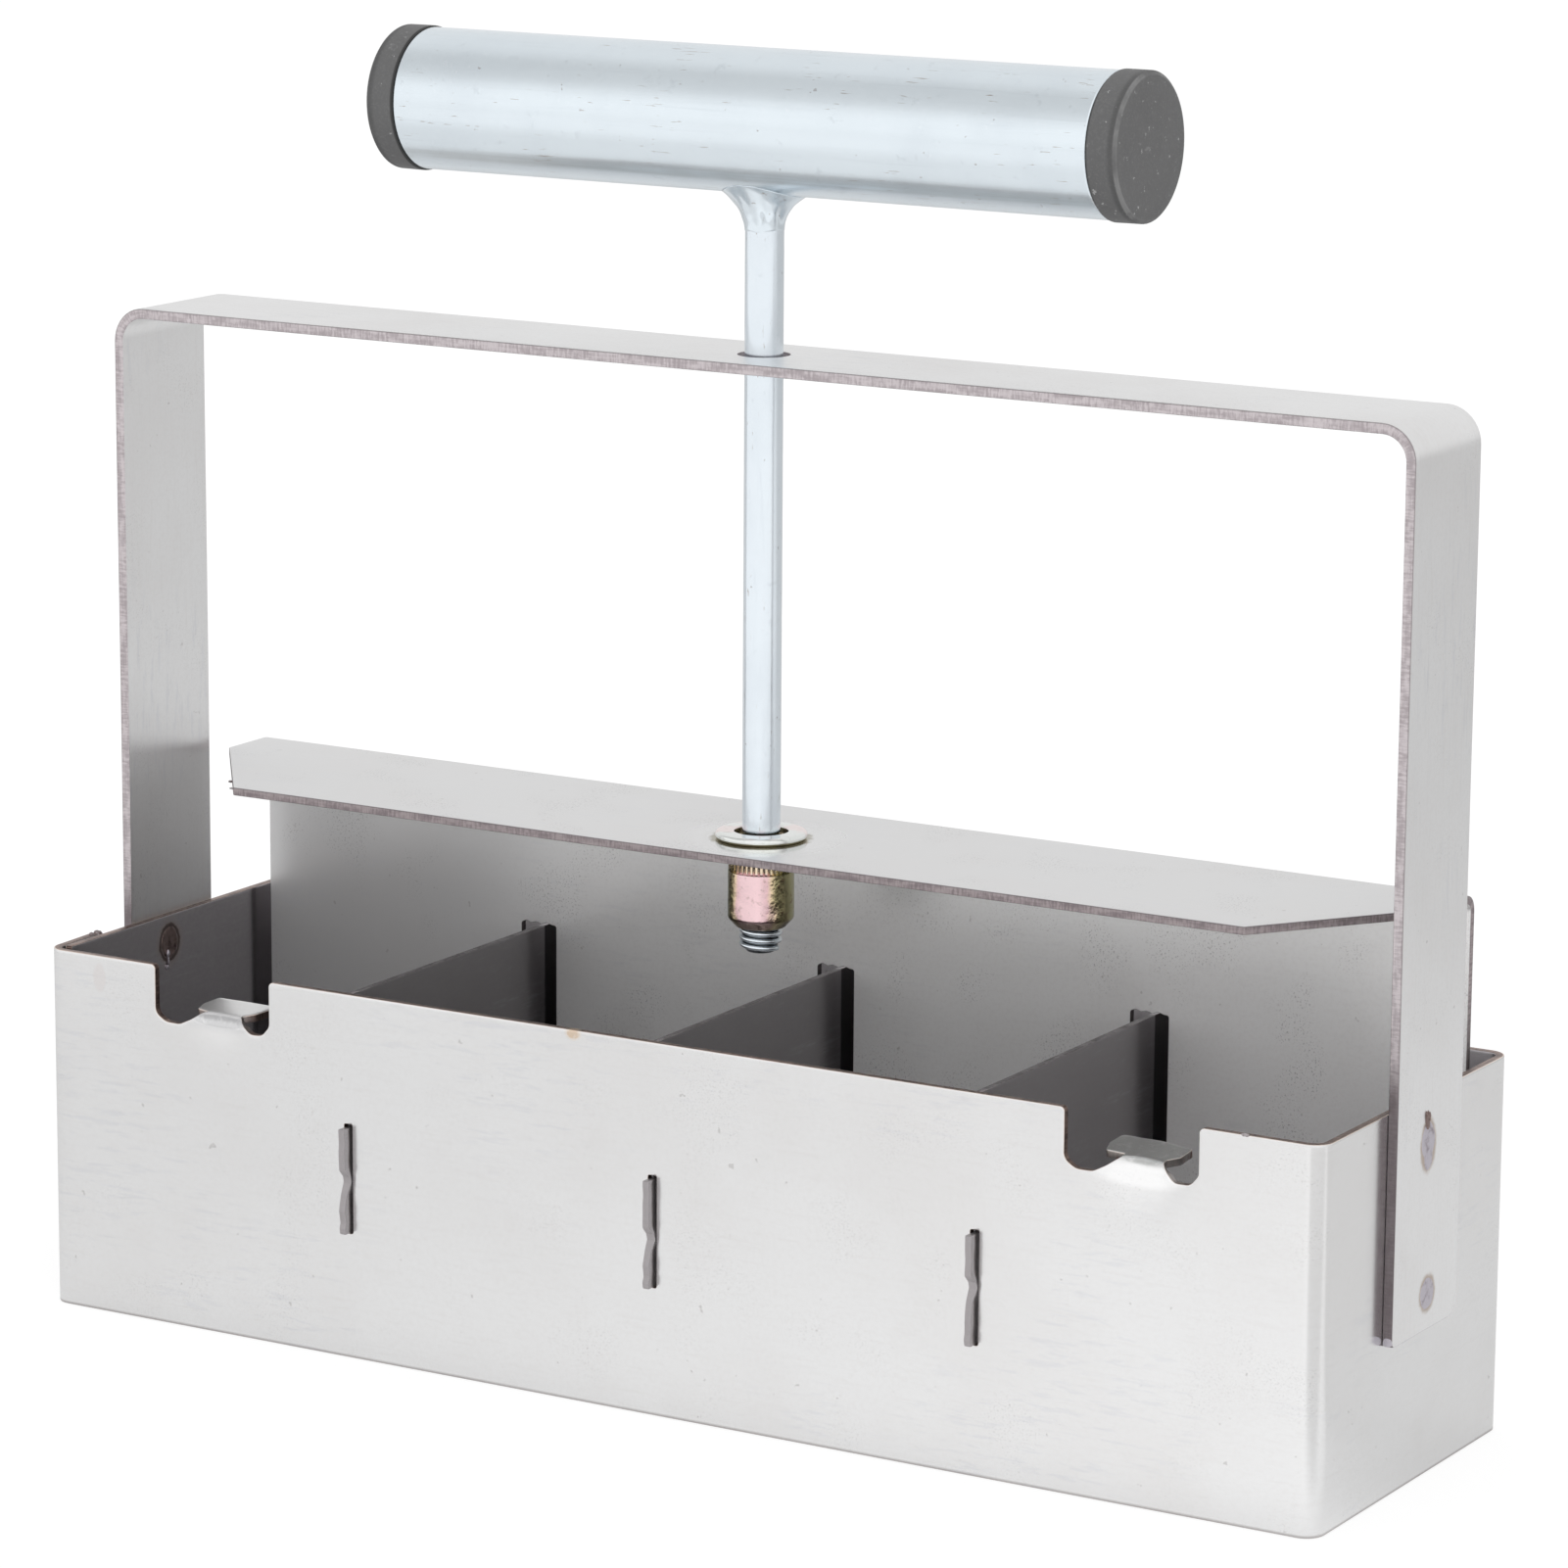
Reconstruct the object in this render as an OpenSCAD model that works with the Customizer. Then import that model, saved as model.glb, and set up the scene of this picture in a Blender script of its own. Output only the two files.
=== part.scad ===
// Hand soil blocker. A four-cell mould of folded sheet steel hangs from a carrying strap, and an
// ejector with one plate in each cell is pushed down through it by a T-handle on a threaded rod.
// X runs along the mould, Y from front to rear and Z up. The origin is the middle of the mould's base.

/* [Mould] */
// Length over the end walls
mould_l = 205; // [160:1:300]
// Depth over the front and rear walls
mould_w = 58; // [50:1:90]
// Height of the walls
mould_h = 53.4; // [48:0.2:80]
// Thickness of the folded sheet
sheet_t = 1.2; // [0.8:0.1:1.5]
// Outside radius of the corner bends
corner_r = 2.8; // [2.2:0.1:5]
// Gap between the seam flap and the end wall that it laps
flap_gap = 0.2; // [0.1:0.05:0.4]
// Distance from the end of the seam flap to the strap
flap_end_gap = 7; // [2:0.5:8]

/* [Stops] */
// Width of the two notches in the front wall
notch_w = 20; // [16:0.5:24]
// Depth of the notches
notch_depth = 8.1; // [7:0.1:10]
// Width of the stop tab that is bent inwards in each notch
stop_w = 9; // [6:0.5:12]
// Reach of the stop tabs inwards, from the front face
stop_reach = 7.7; // [6:0.1:11]
// Drop of the stop tabs' upper face below the mould's edge
stop_drop = 6.1; // [4:0.1:8]
// Outside radius of the stop tabs' bend
stop_bend_r = 2; // [1.6:0.1:3]
// How far the stops sit inwards of the outer cells' middles
stop_inset = 2; // [0:0.5:5]

/* [Dividers] */
// Thickness of the three dividers
divider_t = 1; // [0.8:0.1:1.5]
// Height of the tabs that hold the dividers
tab_h = 15.5; // [8:0.5:24]
// Height of the tabs' lower edge above the base
tab_z = 18.5; // [8:0.5:24]
// How far the tabs stand out of the walls
tab_out = 1.5; // [0.8:0.1:2.5]
// Width of the slots that the tabs pass
tab_slot_w = 1.6; // [1.5:0.1:2.4]
// Depth of the dent that locks each tab
dent_depth = 0.9; // [0.3:0.1:1.2]
// Height of the dent
dent_h = 2.6; // [1:0.2:5]

/* [Carrying strap] */
// Width of the strap
strap_w = 20; // [15:1:30]
// Thickness of the strap
strap_t = 1.5; // [1:0.1:3]
// Height of the strap's top face above the mould's edge
strap_rise = 91.8; // [80:0.2:130]
// Height of the strap's lower ends
strap_low = 21.5; // [10:0.5:30]
// Outside radius of the strap's two bends
strap_bend_r = 5; // [3.5:0.5:12]
// Radius of the strap's lower corners
strap_corner_r = 2.5; // [1:0.5:5]
// Diameter of the hole that the rod passes
strap_hole_d = 7.3; // [6.2:0.1:10]
// Height of the lower weld spots above the strap's ends
weld_low = 5; // [4:0.2:8]
// Drop of the upper weld spots below the mould's edge
weld_drop = 5.6; // [5:0.2:10]
// Diameter of the weld spots
weld_d = 4.8; // [3:0.2:6]
// How far the weld spots stand proud of the strap
weld_proud = 0.3; // [0.1:0.1:0.6]

/* [Ejector] */
// Gap between the ejector's ends and the end walls
ejector_end_gap = 1.8; // [1:0.1:4]
// Thickness of the ejector's sheet
ejector_t = 1.2; // [0.8:0.1:1.6]
// Outside radius of the ejector's bends
ejector_bend_r = 2.5; // [2:0.1:4]
// Distance from the panel's rear face to the outside of the rear wall
panel_back = 6.8; // [2.4:0.2:10]
// Height of the flange's top face above the mould's edge
flange_rise = 23.4; // [18:0.2:40]
// Depth of the flange in front of the rod
flange_front = 12.5; // [8:0.5:20]
// Length of the flange's full-width part behind the chamfers
flange_full = 11.4; // [4:0.2:16]
// Length that each chamfer takes off the flange's front edge
flange_chamfer = 17.5; // [4:0.5:30]
// Width of the panel's slots over the dividers
panel_slot_w = 6; // [3:0.2:10]
// Gap over the dividers when the ejector hangs at its lowest
slot_rest_gap = 0.3; // [0.2:0.1:1]
// Height of the plates' underside above the base at rest
plate_z = 7; // [6.8:0.2:12]
// Gap between the plates and the front wall
plate_front_gap = 2; // [1:0.2:4]
// Chamfer at the plates' front corners
plate_chamfer = 3; // [1:0.5:6]

/* [Seed pins] */
// Diameter of the pins
pin_d = 8; // [6.5:0.5:14]
// Length of the pins below the plates
pin_l = 6.5; // [4:0.1:6.7]
// Radius of the rounding at the pins' tips
pin_tip_r = 2.5; // [1:0.1:3]
// Thread diameter of the screws that hold the pins
pin_screw_d = 4; // [3:0.5:5]
// Diameter of the screw heads
pin_head_d = 8; // [6:0.5:10]
// Height of the screw heads
pin_head_h = 2.4; // [1.5:0.1:4]

/* [Rivet nut] */
// Diameter of the rivet nut's head
nut_head_d = 13; // [11:0.5:18]
// Thickness of the head
nut_head_t = 1.1; // [0.8:0.1:2]
// Diameter of the body
nut_body_d = 9.4; // [8.6:0.1:10.4]
// Length of the body below the ejector's flange
nut_body_l = 11.5; // [9:0.5:16]
// Diameter of the open bore above the thread
nut_bore_d = 7.6; // [6.6:0.1:8]
// Length of the threaded stretch at the nut's lower end
nut_thread_l = 6; // [4:0.5:8]

/* [Plunger] */
// Diameter of the rod
rod_d = 5.4; // [4.6:0.1:5.7]
// Outside diameter of the rod's thread
thread_d = 5.9; // [5.8:0.05:6.4]
// Pitch of the thread
thread_pitch = 1; // [0.75:0.25:1.25]
// Depth of the thread
thread_depth = 0.5; // [0.2:0.05:0.6]
// How far the thread comes out under the nut
thread_out = 3.6; // [1:0.2:8]
// Height of the handle tube's axis above the strap
handle_rise = 32.2; // [24:0.2:80]
// Diameter of the weld bead where it meets the tube
bead_d = 11.6; // [8:0.2:16]
// Height of the weld bead below the tube
bead_h = 4.8; // [3:0.2:8]

/* [Handle] */
// Length of the tube
tube_l = 110; // [80:1:160]
// Outside diameter of the tube
tube_d = 20; // [16:0.5:28]
// Wall thickness of the tube
tube_wall = 1.3; // [1:0.1:2.5]
// Diameter of the end caps
cap_d = 20.4; // [16.4:0.1:29]
// Thickness of the caps' heads
cap_t = 4.5; // [3:0.5:8]
// Radius of the rounding at the caps' outer edge
cap_edge_r = 1.6; // [0.5:0.1:2.5]
// Length of the caps' plugs inside the tube
plug_l = 9; // [5:0.5:20]
// Wall thickness of the caps' plugs
plug_wall = 2; // [1:0.1:4]

/* [Fits] */
// Clearance on each side of pieces that are welded or seated
seat_fit = 0.05; // [0.02:0.01:0.1]
// Clearance between a thread and its nut, on the radius
thread_fit = 0.05; // [0.02:0.01:0.09]
// Gap over the tabs in their slots
tab_top_fit = 0.45; // [0.1:0.05:1]

/* [Hidden] */

// How far a cut runs past the surface that it opens.
overrun = 1;
$fn = 64;

// Mould.
cell_count = 4;
inner_l = mould_l - 2 * sheet_t;
cell_l = (inner_l - (cell_count - 1) * divider_t) / cell_count;
cell_pitch = cell_l + divider_t;
front_y = -mould_w / 2;
rear_y = mould_w / 2;
inner_front_y = front_y + sheet_t;
inner_rear_y = rear_y - sheet_t;
flap_lap = flap_gap + sheet_t;
flap_end_y = -strap_w / 2 - flap_end_gap;
stop_x = (cell_count - 1) / 2 * cell_pitch - stop_inset;
notch_z = mould_h - notch_depth;
notch_foot_r = 1.6;
notch_lip_r = 1.2;
notch_rise = 2.1;
stop_chamfer = 1.5;
stop_z = mould_h - stop_drop;
arc_steps = 8;
tack_r = 1.3;
tack_l = 5;
tack_share = [0.12, 0.5, 0.9];

// Strap.
strap_top = mould_h + strap_rise;

// Dividers.
divider_indices = [-1, 0, 1];
dent_z = tab_z + tab_h / 2;

// Ejector.
ejector_l = inner_l - 2 * ejector_end_gap;
panel_rear_y = rear_y - panel_back;
panel_front_y = panel_rear_y - ejector_t;
flange_z = mould_h + flange_rise;
slot_top = mould_h + slot_rest_gap;
plate_front_y = inner_front_y + plate_front_gap;
pin_y = (inner_front_y + panel_front_y) / 2;
cell_indices = [0 : cell_count - 1];
screw_grip = 5;
screw_hole_fit = 0.2;
screw_slot_w = 1;
screw_slot_depth = 1.1;
screw_head_r = 1;

// Nut and rod.
handle_z = strap_top + handle_rise;
nut_hole_d = nut_body_d + 2 * seat_fit;
nut_low = flange_z - ejector_t - nut_body_l;
nut_chamfer = 0.9;
nut_head_edge = 0.35;
rod_low = nut_low - thread_out;
thread_top = flange_z - ejector_t;
rod_high = handle_z - tube_d / 2 - seat_fit;
rod_tip = 0.8;
bead_steps = 8;
bead_toe = 0.25;
bead_curve = 1.7;

// Middle of cell i along X, counted from the left.
function cell_x(i) = (i - (cell_count - 1) / 2) * cell_pitch;

// Points of an arc, from angle a to angle b.
function arc(centre, r, a, b) = [
    for (i = [0 : arc_steps])
        let (t = a + (b - a) * i / arc_steps)
        [centre[0] + r * cos(t), centre[1] + r * sin(t)]
];

// Radius of an arc that leaves the level and climbs by rise within run.
function climb_r(run, rise) = (run * run + rise * rise) / (2 * rise);

// Left half of a notch's outline, from the mould's edge down to the stop tab.
function half_notch() =
    let (
        side = -notch_w / 2,
        foot = side + notch_foot_r,
        r = climb_r(-stop_w / 2 - foot, notch_rise),
        swing = asin((-stop_w / 2 - foot) / r)
    )
    concat(
        [[side - notch_lip_r, mould_h + overrun]],
        arc([side - notch_lip_r, mould_h - notch_lip_r], notch_lip_r, 90, 0),
        arc([foot, notch_z + notch_foot_r], notch_foot_r, 180, 270),
        arc([foot, notch_z + r], r, 270, 270 + swing),
        [[-stop_w / 2, stop_z - stop_bend_r]]
    );

function mirrored(points) = [for (i = [len(points) - 1 : -1 : 0]) [-points[i][0], points[i][1]]];

// A quarter of a bent sheet of outside radius r and thickness t, about Z, in the +X +Y quarter.
module quarter_bend(r, t, h) {
    rotate_extrude(angle = 90)
        translate([r - t, 0])
            square([t, h]);
}

// A quarter bend whose axis lies along X, over the length l, from the rear face up to the top face.
module long_bend(r, t, l) {
    translate([-l / 2, 0, 0])
        rotate([90, 0, 90])
            quarter_bend(r, t, l);
}

// A box given by its lowest and highest corners.
module block(low, high) {
    translate(low)
        cube(high - low);
}

// Cuts a notch's outline through the front wall.
module notch_cut(x) {
    translate([x, inner_front_y + overrun, 0])
        rotate([90, 0, 0])
            linear_extrude(sheet_t + 2 * overrun)
                polygon(concat(half_notch(), mirrored(half_notch())));
}

// The tab that is bent inwards in a notch, with its bend.
module stop_tab(x) {
    flat_start = front_y + stop_bend_r;
    flat_end = front_y + stop_reach;
    translate([x, 0, 0]) {
        translate([0, flat_start, stop_z - stop_bend_r])
            mirror([0, 1, 0])
                long_bend(stop_bend_r, sheet_t, stop_w);
        translate([0, 0, stop_z - sheet_t])
            linear_extrude(sheet_t)
                polygon([
                    [-stop_w / 2, flat_start],
                    [stop_w / 2, flat_start],
                    [stop_w / 2, flat_end - stop_chamfer],
                    [stop_w / 2 - stop_chamfer, flat_end],
                    [stop_chamfer - stop_w / 2, flat_end],
                    [-stop_w / 2, flat_end - stop_chamfer]
                ]);
    }
}

// Slots for one divider's tabs, in both long walls. Each tab lies against its slot's left side.
module divider_slots(x) {
    block(
        [x - divider_t / 2 - seat_fit, front_y - overrun, tab_z - seat_fit],
        [x - divider_t / 2 - seat_fit + tab_slot_w, rear_y + overrun, tab_z + tab_h + tab_top_fit]
    );
}

// The mould's sheet before it is cut. It is one strip that starts inside the seam flap at the front
// of the left wall, runs round the rear, the right and the front, and laps itself as the flap.
module folded_strip() {
    end_x = mould_l / 2;
    bend_x = end_x - corner_r;
    bend_y = rear_y - corner_r;
    flap_x = -end_x - flap_lap;
    block([-end_x, -bend_y, 0], [-end_x + sheet_t, bend_y, mould_h]);
    block([-bend_x, inner_rear_y, 0], [bend_x, rear_y, mould_h]);
    block([end_x - sheet_t, -bend_y, 0], [end_x, bend_y, mould_h]);
    block([flap_x + corner_r, front_y, 0], [bend_x, inner_front_y, mould_h]);
    block([flap_x, -bend_y, 0], [flap_x + sheet_t, flap_end_y, mould_h]);
    translate([bend_x, bend_y, 0])
        quarter_bend(corner_r, sheet_t, mould_h);
    translate([-bend_x, bend_y, 0])
        mirror([1, 0, 0])
            quarter_bend(corner_r, sheet_t, mould_h);
    translate([bend_x, -bend_y, 0])
        mirror([0, 1, 0])
            quarter_bend(corner_r, sheet_t, mould_h);
    translate([flap_x + corner_r, -bend_y, 0])
        rotate([0, 0, 180])
            quarter_bend(corner_r, sheet_t, mould_h);
}

module mould_sleeve() {
    color([0.72, 0.72, 0.73]) {
        difference() {
            folded_strip();
            for (side = [-1, 1])
                notch_cut(side * stop_x);
            for (i = divider_indices)
                divider_slots(i * cell_pitch);
        }
        for (side = [-1, 1])
            stop_tab(side * stop_x);
    }
}

// Tack welds in the corner between the flap's end and the left wall.
module seam_tacks() {
    color([0.45, 0.44, 0.45])
        for (share = tack_share)
            translate([-mould_l / 2, flap_end_y, share * mould_h - tack_l / 2])
                rotate([0, 0, 90])
                    rotate_extrude(angle = 90)
                        square([tack_r, tack_l]);
}

// One divider plate with its two tabs, each dented by a chisel to lock it.
module divider(x) {
    color([0.5, 0.49, 0.5])
        translate([x, 0, 0])
            difference() {
                union() {
                    block(
                        [-divider_t / 2, inner_front_y + seat_fit, 0],
                        [divider_t / 2, inner_rear_y - seat_fit, mould_h]
                    );
                    block(
                        [-divider_t / 2, front_y - tab_out, tab_z],
                        [divider_t / 2, rear_y + tab_out, tab_z + tab_h]
                    );
                }
                for (side = [-1, 1])
                    translate([0, side * (rear_y + tab_out), dent_z])
                        rotate([90, 0, 90])
                            linear_extrude(divider_t + 2 * overrun, center = true)
                                polygon([
                                    [side * overrun, -dent_h / 2 - overrun],
                                    [0, -dent_h / 2],
                                    [-side * dent_depth, 0],
                                    [0, dent_h / 2],
                                    [side * overrun, dent_h / 2 + overrun]
                                ]);
            }
}

module divider_left() { divider(-cell_pitch); }

module divider_centre() { divider(0); }

module divider_right() { divider(cell_pitch); }

// Takes the two lower corners off a strap leg that stands on X = 0.
module leg_corner_cuts() {
    for (side = [-1, 1])
        translate([0, side * (strap_w / 2 - strap_corner_r), strap_low + strap_corner_r])
            difference() {
                block(
                    [-overrun, min(0, side * (strap_corner_r + overrun)), -strap_corner_r - overrun],
                    [strap_t + overrun, max(0, side * (strap_corner_r + overrun)), 0]
                );
                translate([-2 * overrun, 0, 0])
                    rotate([0, 90, 0])
                        cylinder(r = strap_corner_r, h = strap_t + 4 * overrun);
            }
}

// The right half of the strap, from the middle of its top down to its lower end.
module half_strap() {
    end_x = mould_l / 2;
    bend_x = end_x + strap_t - strap_bend_r;
    bend_z = strap_top - strap_bend_r;
    block([0, -strap_w / 2, strap_top - strap_t], [bend_x, strap_w / 2, strap_top]);
    translate([bend_x, strap_w / 2, bend_z])
        rotate([90, 0, 0])
            quarter_bend(strap_bend_r, strap_t, strap_w);
    translate([end_x, 0, 0])
        difference() {
            block([0, -strap_w / 2, strap_low], [strap_t, strap_w / 2, bend_z]);
            leg_corner_cuts();
        }
}

module carrying_strap() {
    color([0.74, 0.74, 0.75])
        difference() {
            union() {
                half_strap();
                mirror([1, 0, 0])
                    half_strap();
            }
            translate([0, 0, strap_top - strap_t - overrun])
                cylinder(d = strap_hole_d, h = strap_t + 2 * overrun);
        }
}

// The two weld spots on one leg of the strap, each a low round button.
module strap_welds(side) {
    color([0.6, 0.57, 0.58])
        for (z = [strap_low + weld_low, mould_h - weld_drop])
            translate([side * (mould_l / 2 + strap_t), 0, z])
                rotate([0, side * 90, 0])
                    rotate_extrude()
                        polygon([
                            [0, 0],
                            [weld_d / 2, 0],
                            [weld_d / 2 - weld_proud, weld_proud],
                            [0, weld_proud]
                        ]);
}

module strap_welds_left() { strap_welds(-1); }

module strap_welds_right() { strap_welds(1); }

// Outline of the flange, seen from above, from its bend to its front edge.
module flange_outline() {
    half_l = ejector_l / 2;
    bend_y = panel_rear_y - ejector_bend_r;
    full_y = panel_rear_y - flange_full;
    polygon([
        [-half_l, bend_y],
        [-half_l, full_y],
        [flange_chamfer - half_l, -flange_front],
        [half_l - flange_chamfer, -flange_front],
        [half_l, full_y],
        [half_l, bend_y]
    ]);
}

// Outline of one cell's plate, seen from above, over the width w and with its left edge on X = 0.
module plate_outline(w) {
    polygon([
        [0, panel_rear_y - ejector_bend_r],
        [0, plate_front_y + plate_chamfer],
        [plate_chamfer, plate_front_y],
        [w - plate_chamfer, plate_front_y],
        [w, plate_front_y + plate_chamfer],
        [w, panel_rear_y - ejector_bend_r]
    ]);
}

// One folded sheet: the flange that the rod is fixed to, the panel that hangs behind it, and a
// plate bent forward into each cell. The panel is slotted from below to clear the dividers.
module ejector_frame() {
    half_l = ejector_l / 2;
    bend_y = panel_rear_y - ejector_bend_r;
    color([0.66, 0.66, 0.67])
        difference() {
            union() {
                translate([0, 0, flange_z - ejector_t])
                    linear_extrude(ejector_t)
                        flange_outline();
                translate([0, bend_y, flange_z - ejector_bend_r])
                    long_bend(ejector_bend_r, ejector_t, ejector_l);
                block(
                    [-half_l, panel_front_y, plate_z + ejector_bend_r],
                    [half_l, panel_rear_y, flange_z - ejector_bend_r]
                );
                translate([0, bend_y, plate_z + ejector_bend_r])
                    mirror([0, 0, 1])
                        long_bend(ejector_bend_r, ejector_t, ejector_l);
                for (i = cell_indices) {
                    low_x = i == 0 ? -half_l : cell_x(i) - cell_pitch / 2 + panel_slot_w / 2;
                    high_x = i == cell_count - 1 ? half_l : cell_x(i) + cell_pitch / 2 - panel_slot_w / 2;
                    translate([low_x, 0, plate_z])
                        linear_extrude(ejector_t)
                            plate_outline(high_x - low_x);
                }
            }
            for (i = divider_indices)
                block(
                    [i * cell_pitch - panel_slot_w / 2, bend_y, plate_z - overrun],
                    [i * cell_pitch + panel_slot_w / 2, panel_rear_y + overrun, slot_top]
                );
            for (i = cell_indices)
                translate([cell_x(i), pin_y, plate_z - overrun])
                    cylinder(d = pin_screw_d + 2 * screw_hole_fit, h = ejector_t + 2 * overrun);
            translate([0, 0, flange_z - ejector_t - overrun])
                cylinder(d = nut_hole_d, h = ejector_t + 2 * overrun);
        }
}

// A pin under one plate that leaves the hole for the seed. It has a rounded tip and a blind
// hole for its screw.
module seed_pin(i) {
    r = pin_d / 2;
    hole_r = pin_screw_d / 2 + seat_fit;
    depth = screw_grip + seat_fit;
    color([0.62, 0.62, 0.63])
        translate([cell_x(i), pin_y, plate_z - pin_l])
            rotate_extrude()
                polygon(concat(
                    [[0, 0]],
                    arc([r - pin_tip_r, pin_tip_r], pin_tip_r, -90, 0),
                    [[r, pin_l], [hole_r, pin_l], [hole_r, pin_l - depth], [0, pin_l - depth]]
                ));
}

module seed_pin_1() { seed_pin(0); }

module seed_pin_2() { seed_pin(1); }

module seed_pin_3() { seed_pin(2); }

module seed_pin_4() { seed_pin(3); }

// The slotted screws that hold the pins, one through each plate.
module pin_screws() {
    plate_top = plate_z + ejector_t;
    head_r = pin_head_d / 2;
    crown = [head_r - screw_head_r, pin_head_h - screw_head_r];
    color([0.78, 0.78, 0.8])
        for (i = cell_indices)
            translate([cell_x(i), pin_y, plate_top])
                difference() {
                    union() {
                        rotate_extrude()
                            polygon(concat(
                                [[0, 0], [head_r, 0]],
                                arc(crown, screw_head_r, 0, 90),
                                [[0, pin_head_h]]
                            ));
                        translate([0, 0, -ejector_t - screw_grip])
                            cylinder(d = pin_screw_d, h = ejector_t + screw_grip);
                    }
                    translate([0, 0, pin_head_h])
                        cube([pin_head_d + overrun, screw_slot_w, 2 * screw_slot_depth], center = true);
                }
}

// Blind rivet nut: a flat head over the flange, a plain body under it, an open bore and a
// threaded stretch at the lower end.
module rivet_nut() {
    body_r = nut_body_d / 2;
    head_r = nut_head_d / 2;
    thread_r = thread_d / 2 + thread_fit;
    head_top = flange_z + nut_head_t;
    color([0.74, 0.66, 0.5])
        rotate_extrude()
            polygon([
                [thread_r, nut_low],
                [body_r - nut_chamfer, nut_low],
                [body_r, nut_low + nut_chamfer],
                [body_r, flange_z],
                [head_r, flange_z],
                [head_r, head_top - nut_head_edge],
                [head_r - nut_head_edge, head_top],
                [nut_bore_d / 2, head_top],
                [nut_bore_d / 2, nut_low + nut_thread_l],
                [thread_r, nut_low + nut_thread_l]
            ]);
}

// The rod with its thread, whose crests are drawn as rings at the thread's pitch.
module plunger_rod() {
    r = rod_d / 2;
    crest = thread_d / 2;
    root = crest - thread_depth;
    first = rod_low + rod_tip;
    turns = floor((thread_top - first) / thread_pitch);
    color([0.8, 0.84, 0.88])
        rotate_extrude()
            polygon(concat(
                [[0, rod_low], [crest - rod_tip, rod_low], [root, first - thread_pitch / 4]],
                [
                    for (i = [0 : turns - 1])
                        for (step = [0, 1])
                            [step == 0 ? crest : root, first + (i + step / 2) * thread_pitch]
                ],
                [[r, first + turns * thread_pitch], [r, rod_high], [0, rod_high]]
            ));
}

// The bead that joins the rod to the tube. It swells towards the tube and is cut by it.
module handle_weld() {
    low = handle_z - tube_d / 2 - bead_h;
    reach = tube_d / 2 - sqrt(pow(tube_d / 2, 2) - pow(bead_d / 2, 2));
    span = bead_h + reach;
    inner_r = rod_d / 2 + seat_fit;
    start_r = inner_r + bead_toe;
    color([0.78, 0.82, 0.86])
        difference() {
            rotate_extrude()
                polygon(concat(
                    [[inner_r, low + span], [inner_r, low]],
                    [
                        for (i = [0 : bead_steps])
                            let (share = i / bead_steps)
                            [start_r + (bead_d / 2 - start_r) * pow(share, bead_curve), low + span * share]
                    ]
                ));
            translate([-bead_d, 0, handle_z])
                rotate([0, 90, 0])
                    cylinder(r = tube_d / 2 + seat_fit, h = 2 * bead_d);
        }
}

module handle_tube() {
    color([0.8, 0.84, 0.88])
        translate([0, 0, handle_z])
            rotate([0, 90, 0])
                difference() {
                    cylinder(d = tube_d, h = tube_l, center = true);
                    cylinder(d = tube_d - 2 * tube_wall, h = tube_l + 2 * overrun, center = true);
                }
}

// A rubber cap with a hollow plug inside the tube. It is drawn along Z and laid on its side.
module end_cap(side) {
    plug_r = tube_d / 2 - tube_wall - seat_fit;
    head_r = cap_d / 2;
    color([0.2, 0.2, 0.21])
        translate([side * tube_l / 2, 0, handle_z])
            rotate([0, side * 90, 0])
                rotate_extrude()
                    polygon(concat(
                        [
                            [0, 0],
                            [plug_r - plug_wall, 0],
                            [plug_r - plug_wall, -plug_l],
                            [plug_r, -plug_l],
                            [plug_r, 0],
                            [head_r, 0]
                        ],
                        arc([head_r - cap_edge_r, cap_t - cap_edge_r], cap_edge_r, 0, 90),
                        [[0, cap_t]]
                    ));
}

module end_cap_left() { end_cap(-1); }

module end_cap_right() { end_cap(1); }

mould_sleeve();
seam_tacks();
divider_left();
divider_centre();
divider_right();
carrying_strap();
strap_welds_left();
strap_welds_right();
ejector_frame();
seed_pin_1();
seed_pin_2();
seed_pin_3();
seed_pin_4();
pin_screws();
rivet_nut();
plunger_rod();
handle_weld();
handle_tube();
end_cap_left();
end_cap_right();
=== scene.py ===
"""The looks of a hand soil blocker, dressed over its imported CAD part.

The sheet pieces are cut as flat blanks and folded along a path, as the real ones are. The turned
pieces are lathed from a profile. Lengths are in metres in the row frame: X runs along the row of
cells, Y from front to rear and Z up, and the origin is the middle of the mould's base.
"""

from __future__ import annotations

import logging
import math
from dataclasses import dataclass, field
from enum import Enum
from typing import Callable, Iterator, Sequence

import bpy
import numpy as np
from mathutils import Matrix, Vector, geometry, noise

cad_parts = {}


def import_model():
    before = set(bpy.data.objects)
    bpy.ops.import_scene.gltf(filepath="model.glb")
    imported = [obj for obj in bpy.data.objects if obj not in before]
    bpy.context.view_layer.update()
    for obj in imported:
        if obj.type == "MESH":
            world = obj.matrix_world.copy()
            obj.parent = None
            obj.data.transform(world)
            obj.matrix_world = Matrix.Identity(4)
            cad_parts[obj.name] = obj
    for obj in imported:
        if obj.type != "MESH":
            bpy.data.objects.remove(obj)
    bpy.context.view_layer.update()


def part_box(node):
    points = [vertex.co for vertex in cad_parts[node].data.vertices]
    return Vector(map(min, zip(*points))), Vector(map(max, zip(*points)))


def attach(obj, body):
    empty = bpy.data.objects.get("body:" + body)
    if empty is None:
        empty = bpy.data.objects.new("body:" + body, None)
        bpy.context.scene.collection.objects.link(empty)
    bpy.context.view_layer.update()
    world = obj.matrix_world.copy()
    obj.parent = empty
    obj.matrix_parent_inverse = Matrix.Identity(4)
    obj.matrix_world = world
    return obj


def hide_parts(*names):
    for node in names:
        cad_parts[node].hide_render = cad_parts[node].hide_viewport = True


LOG = logging.getLogger("soil_blocker")
MM = 0.001
QUARTER = math.pi / 2
ON_AXIS = 0.05 * MM
TINY = 1e-9
PLACE = "blank_place"
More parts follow.
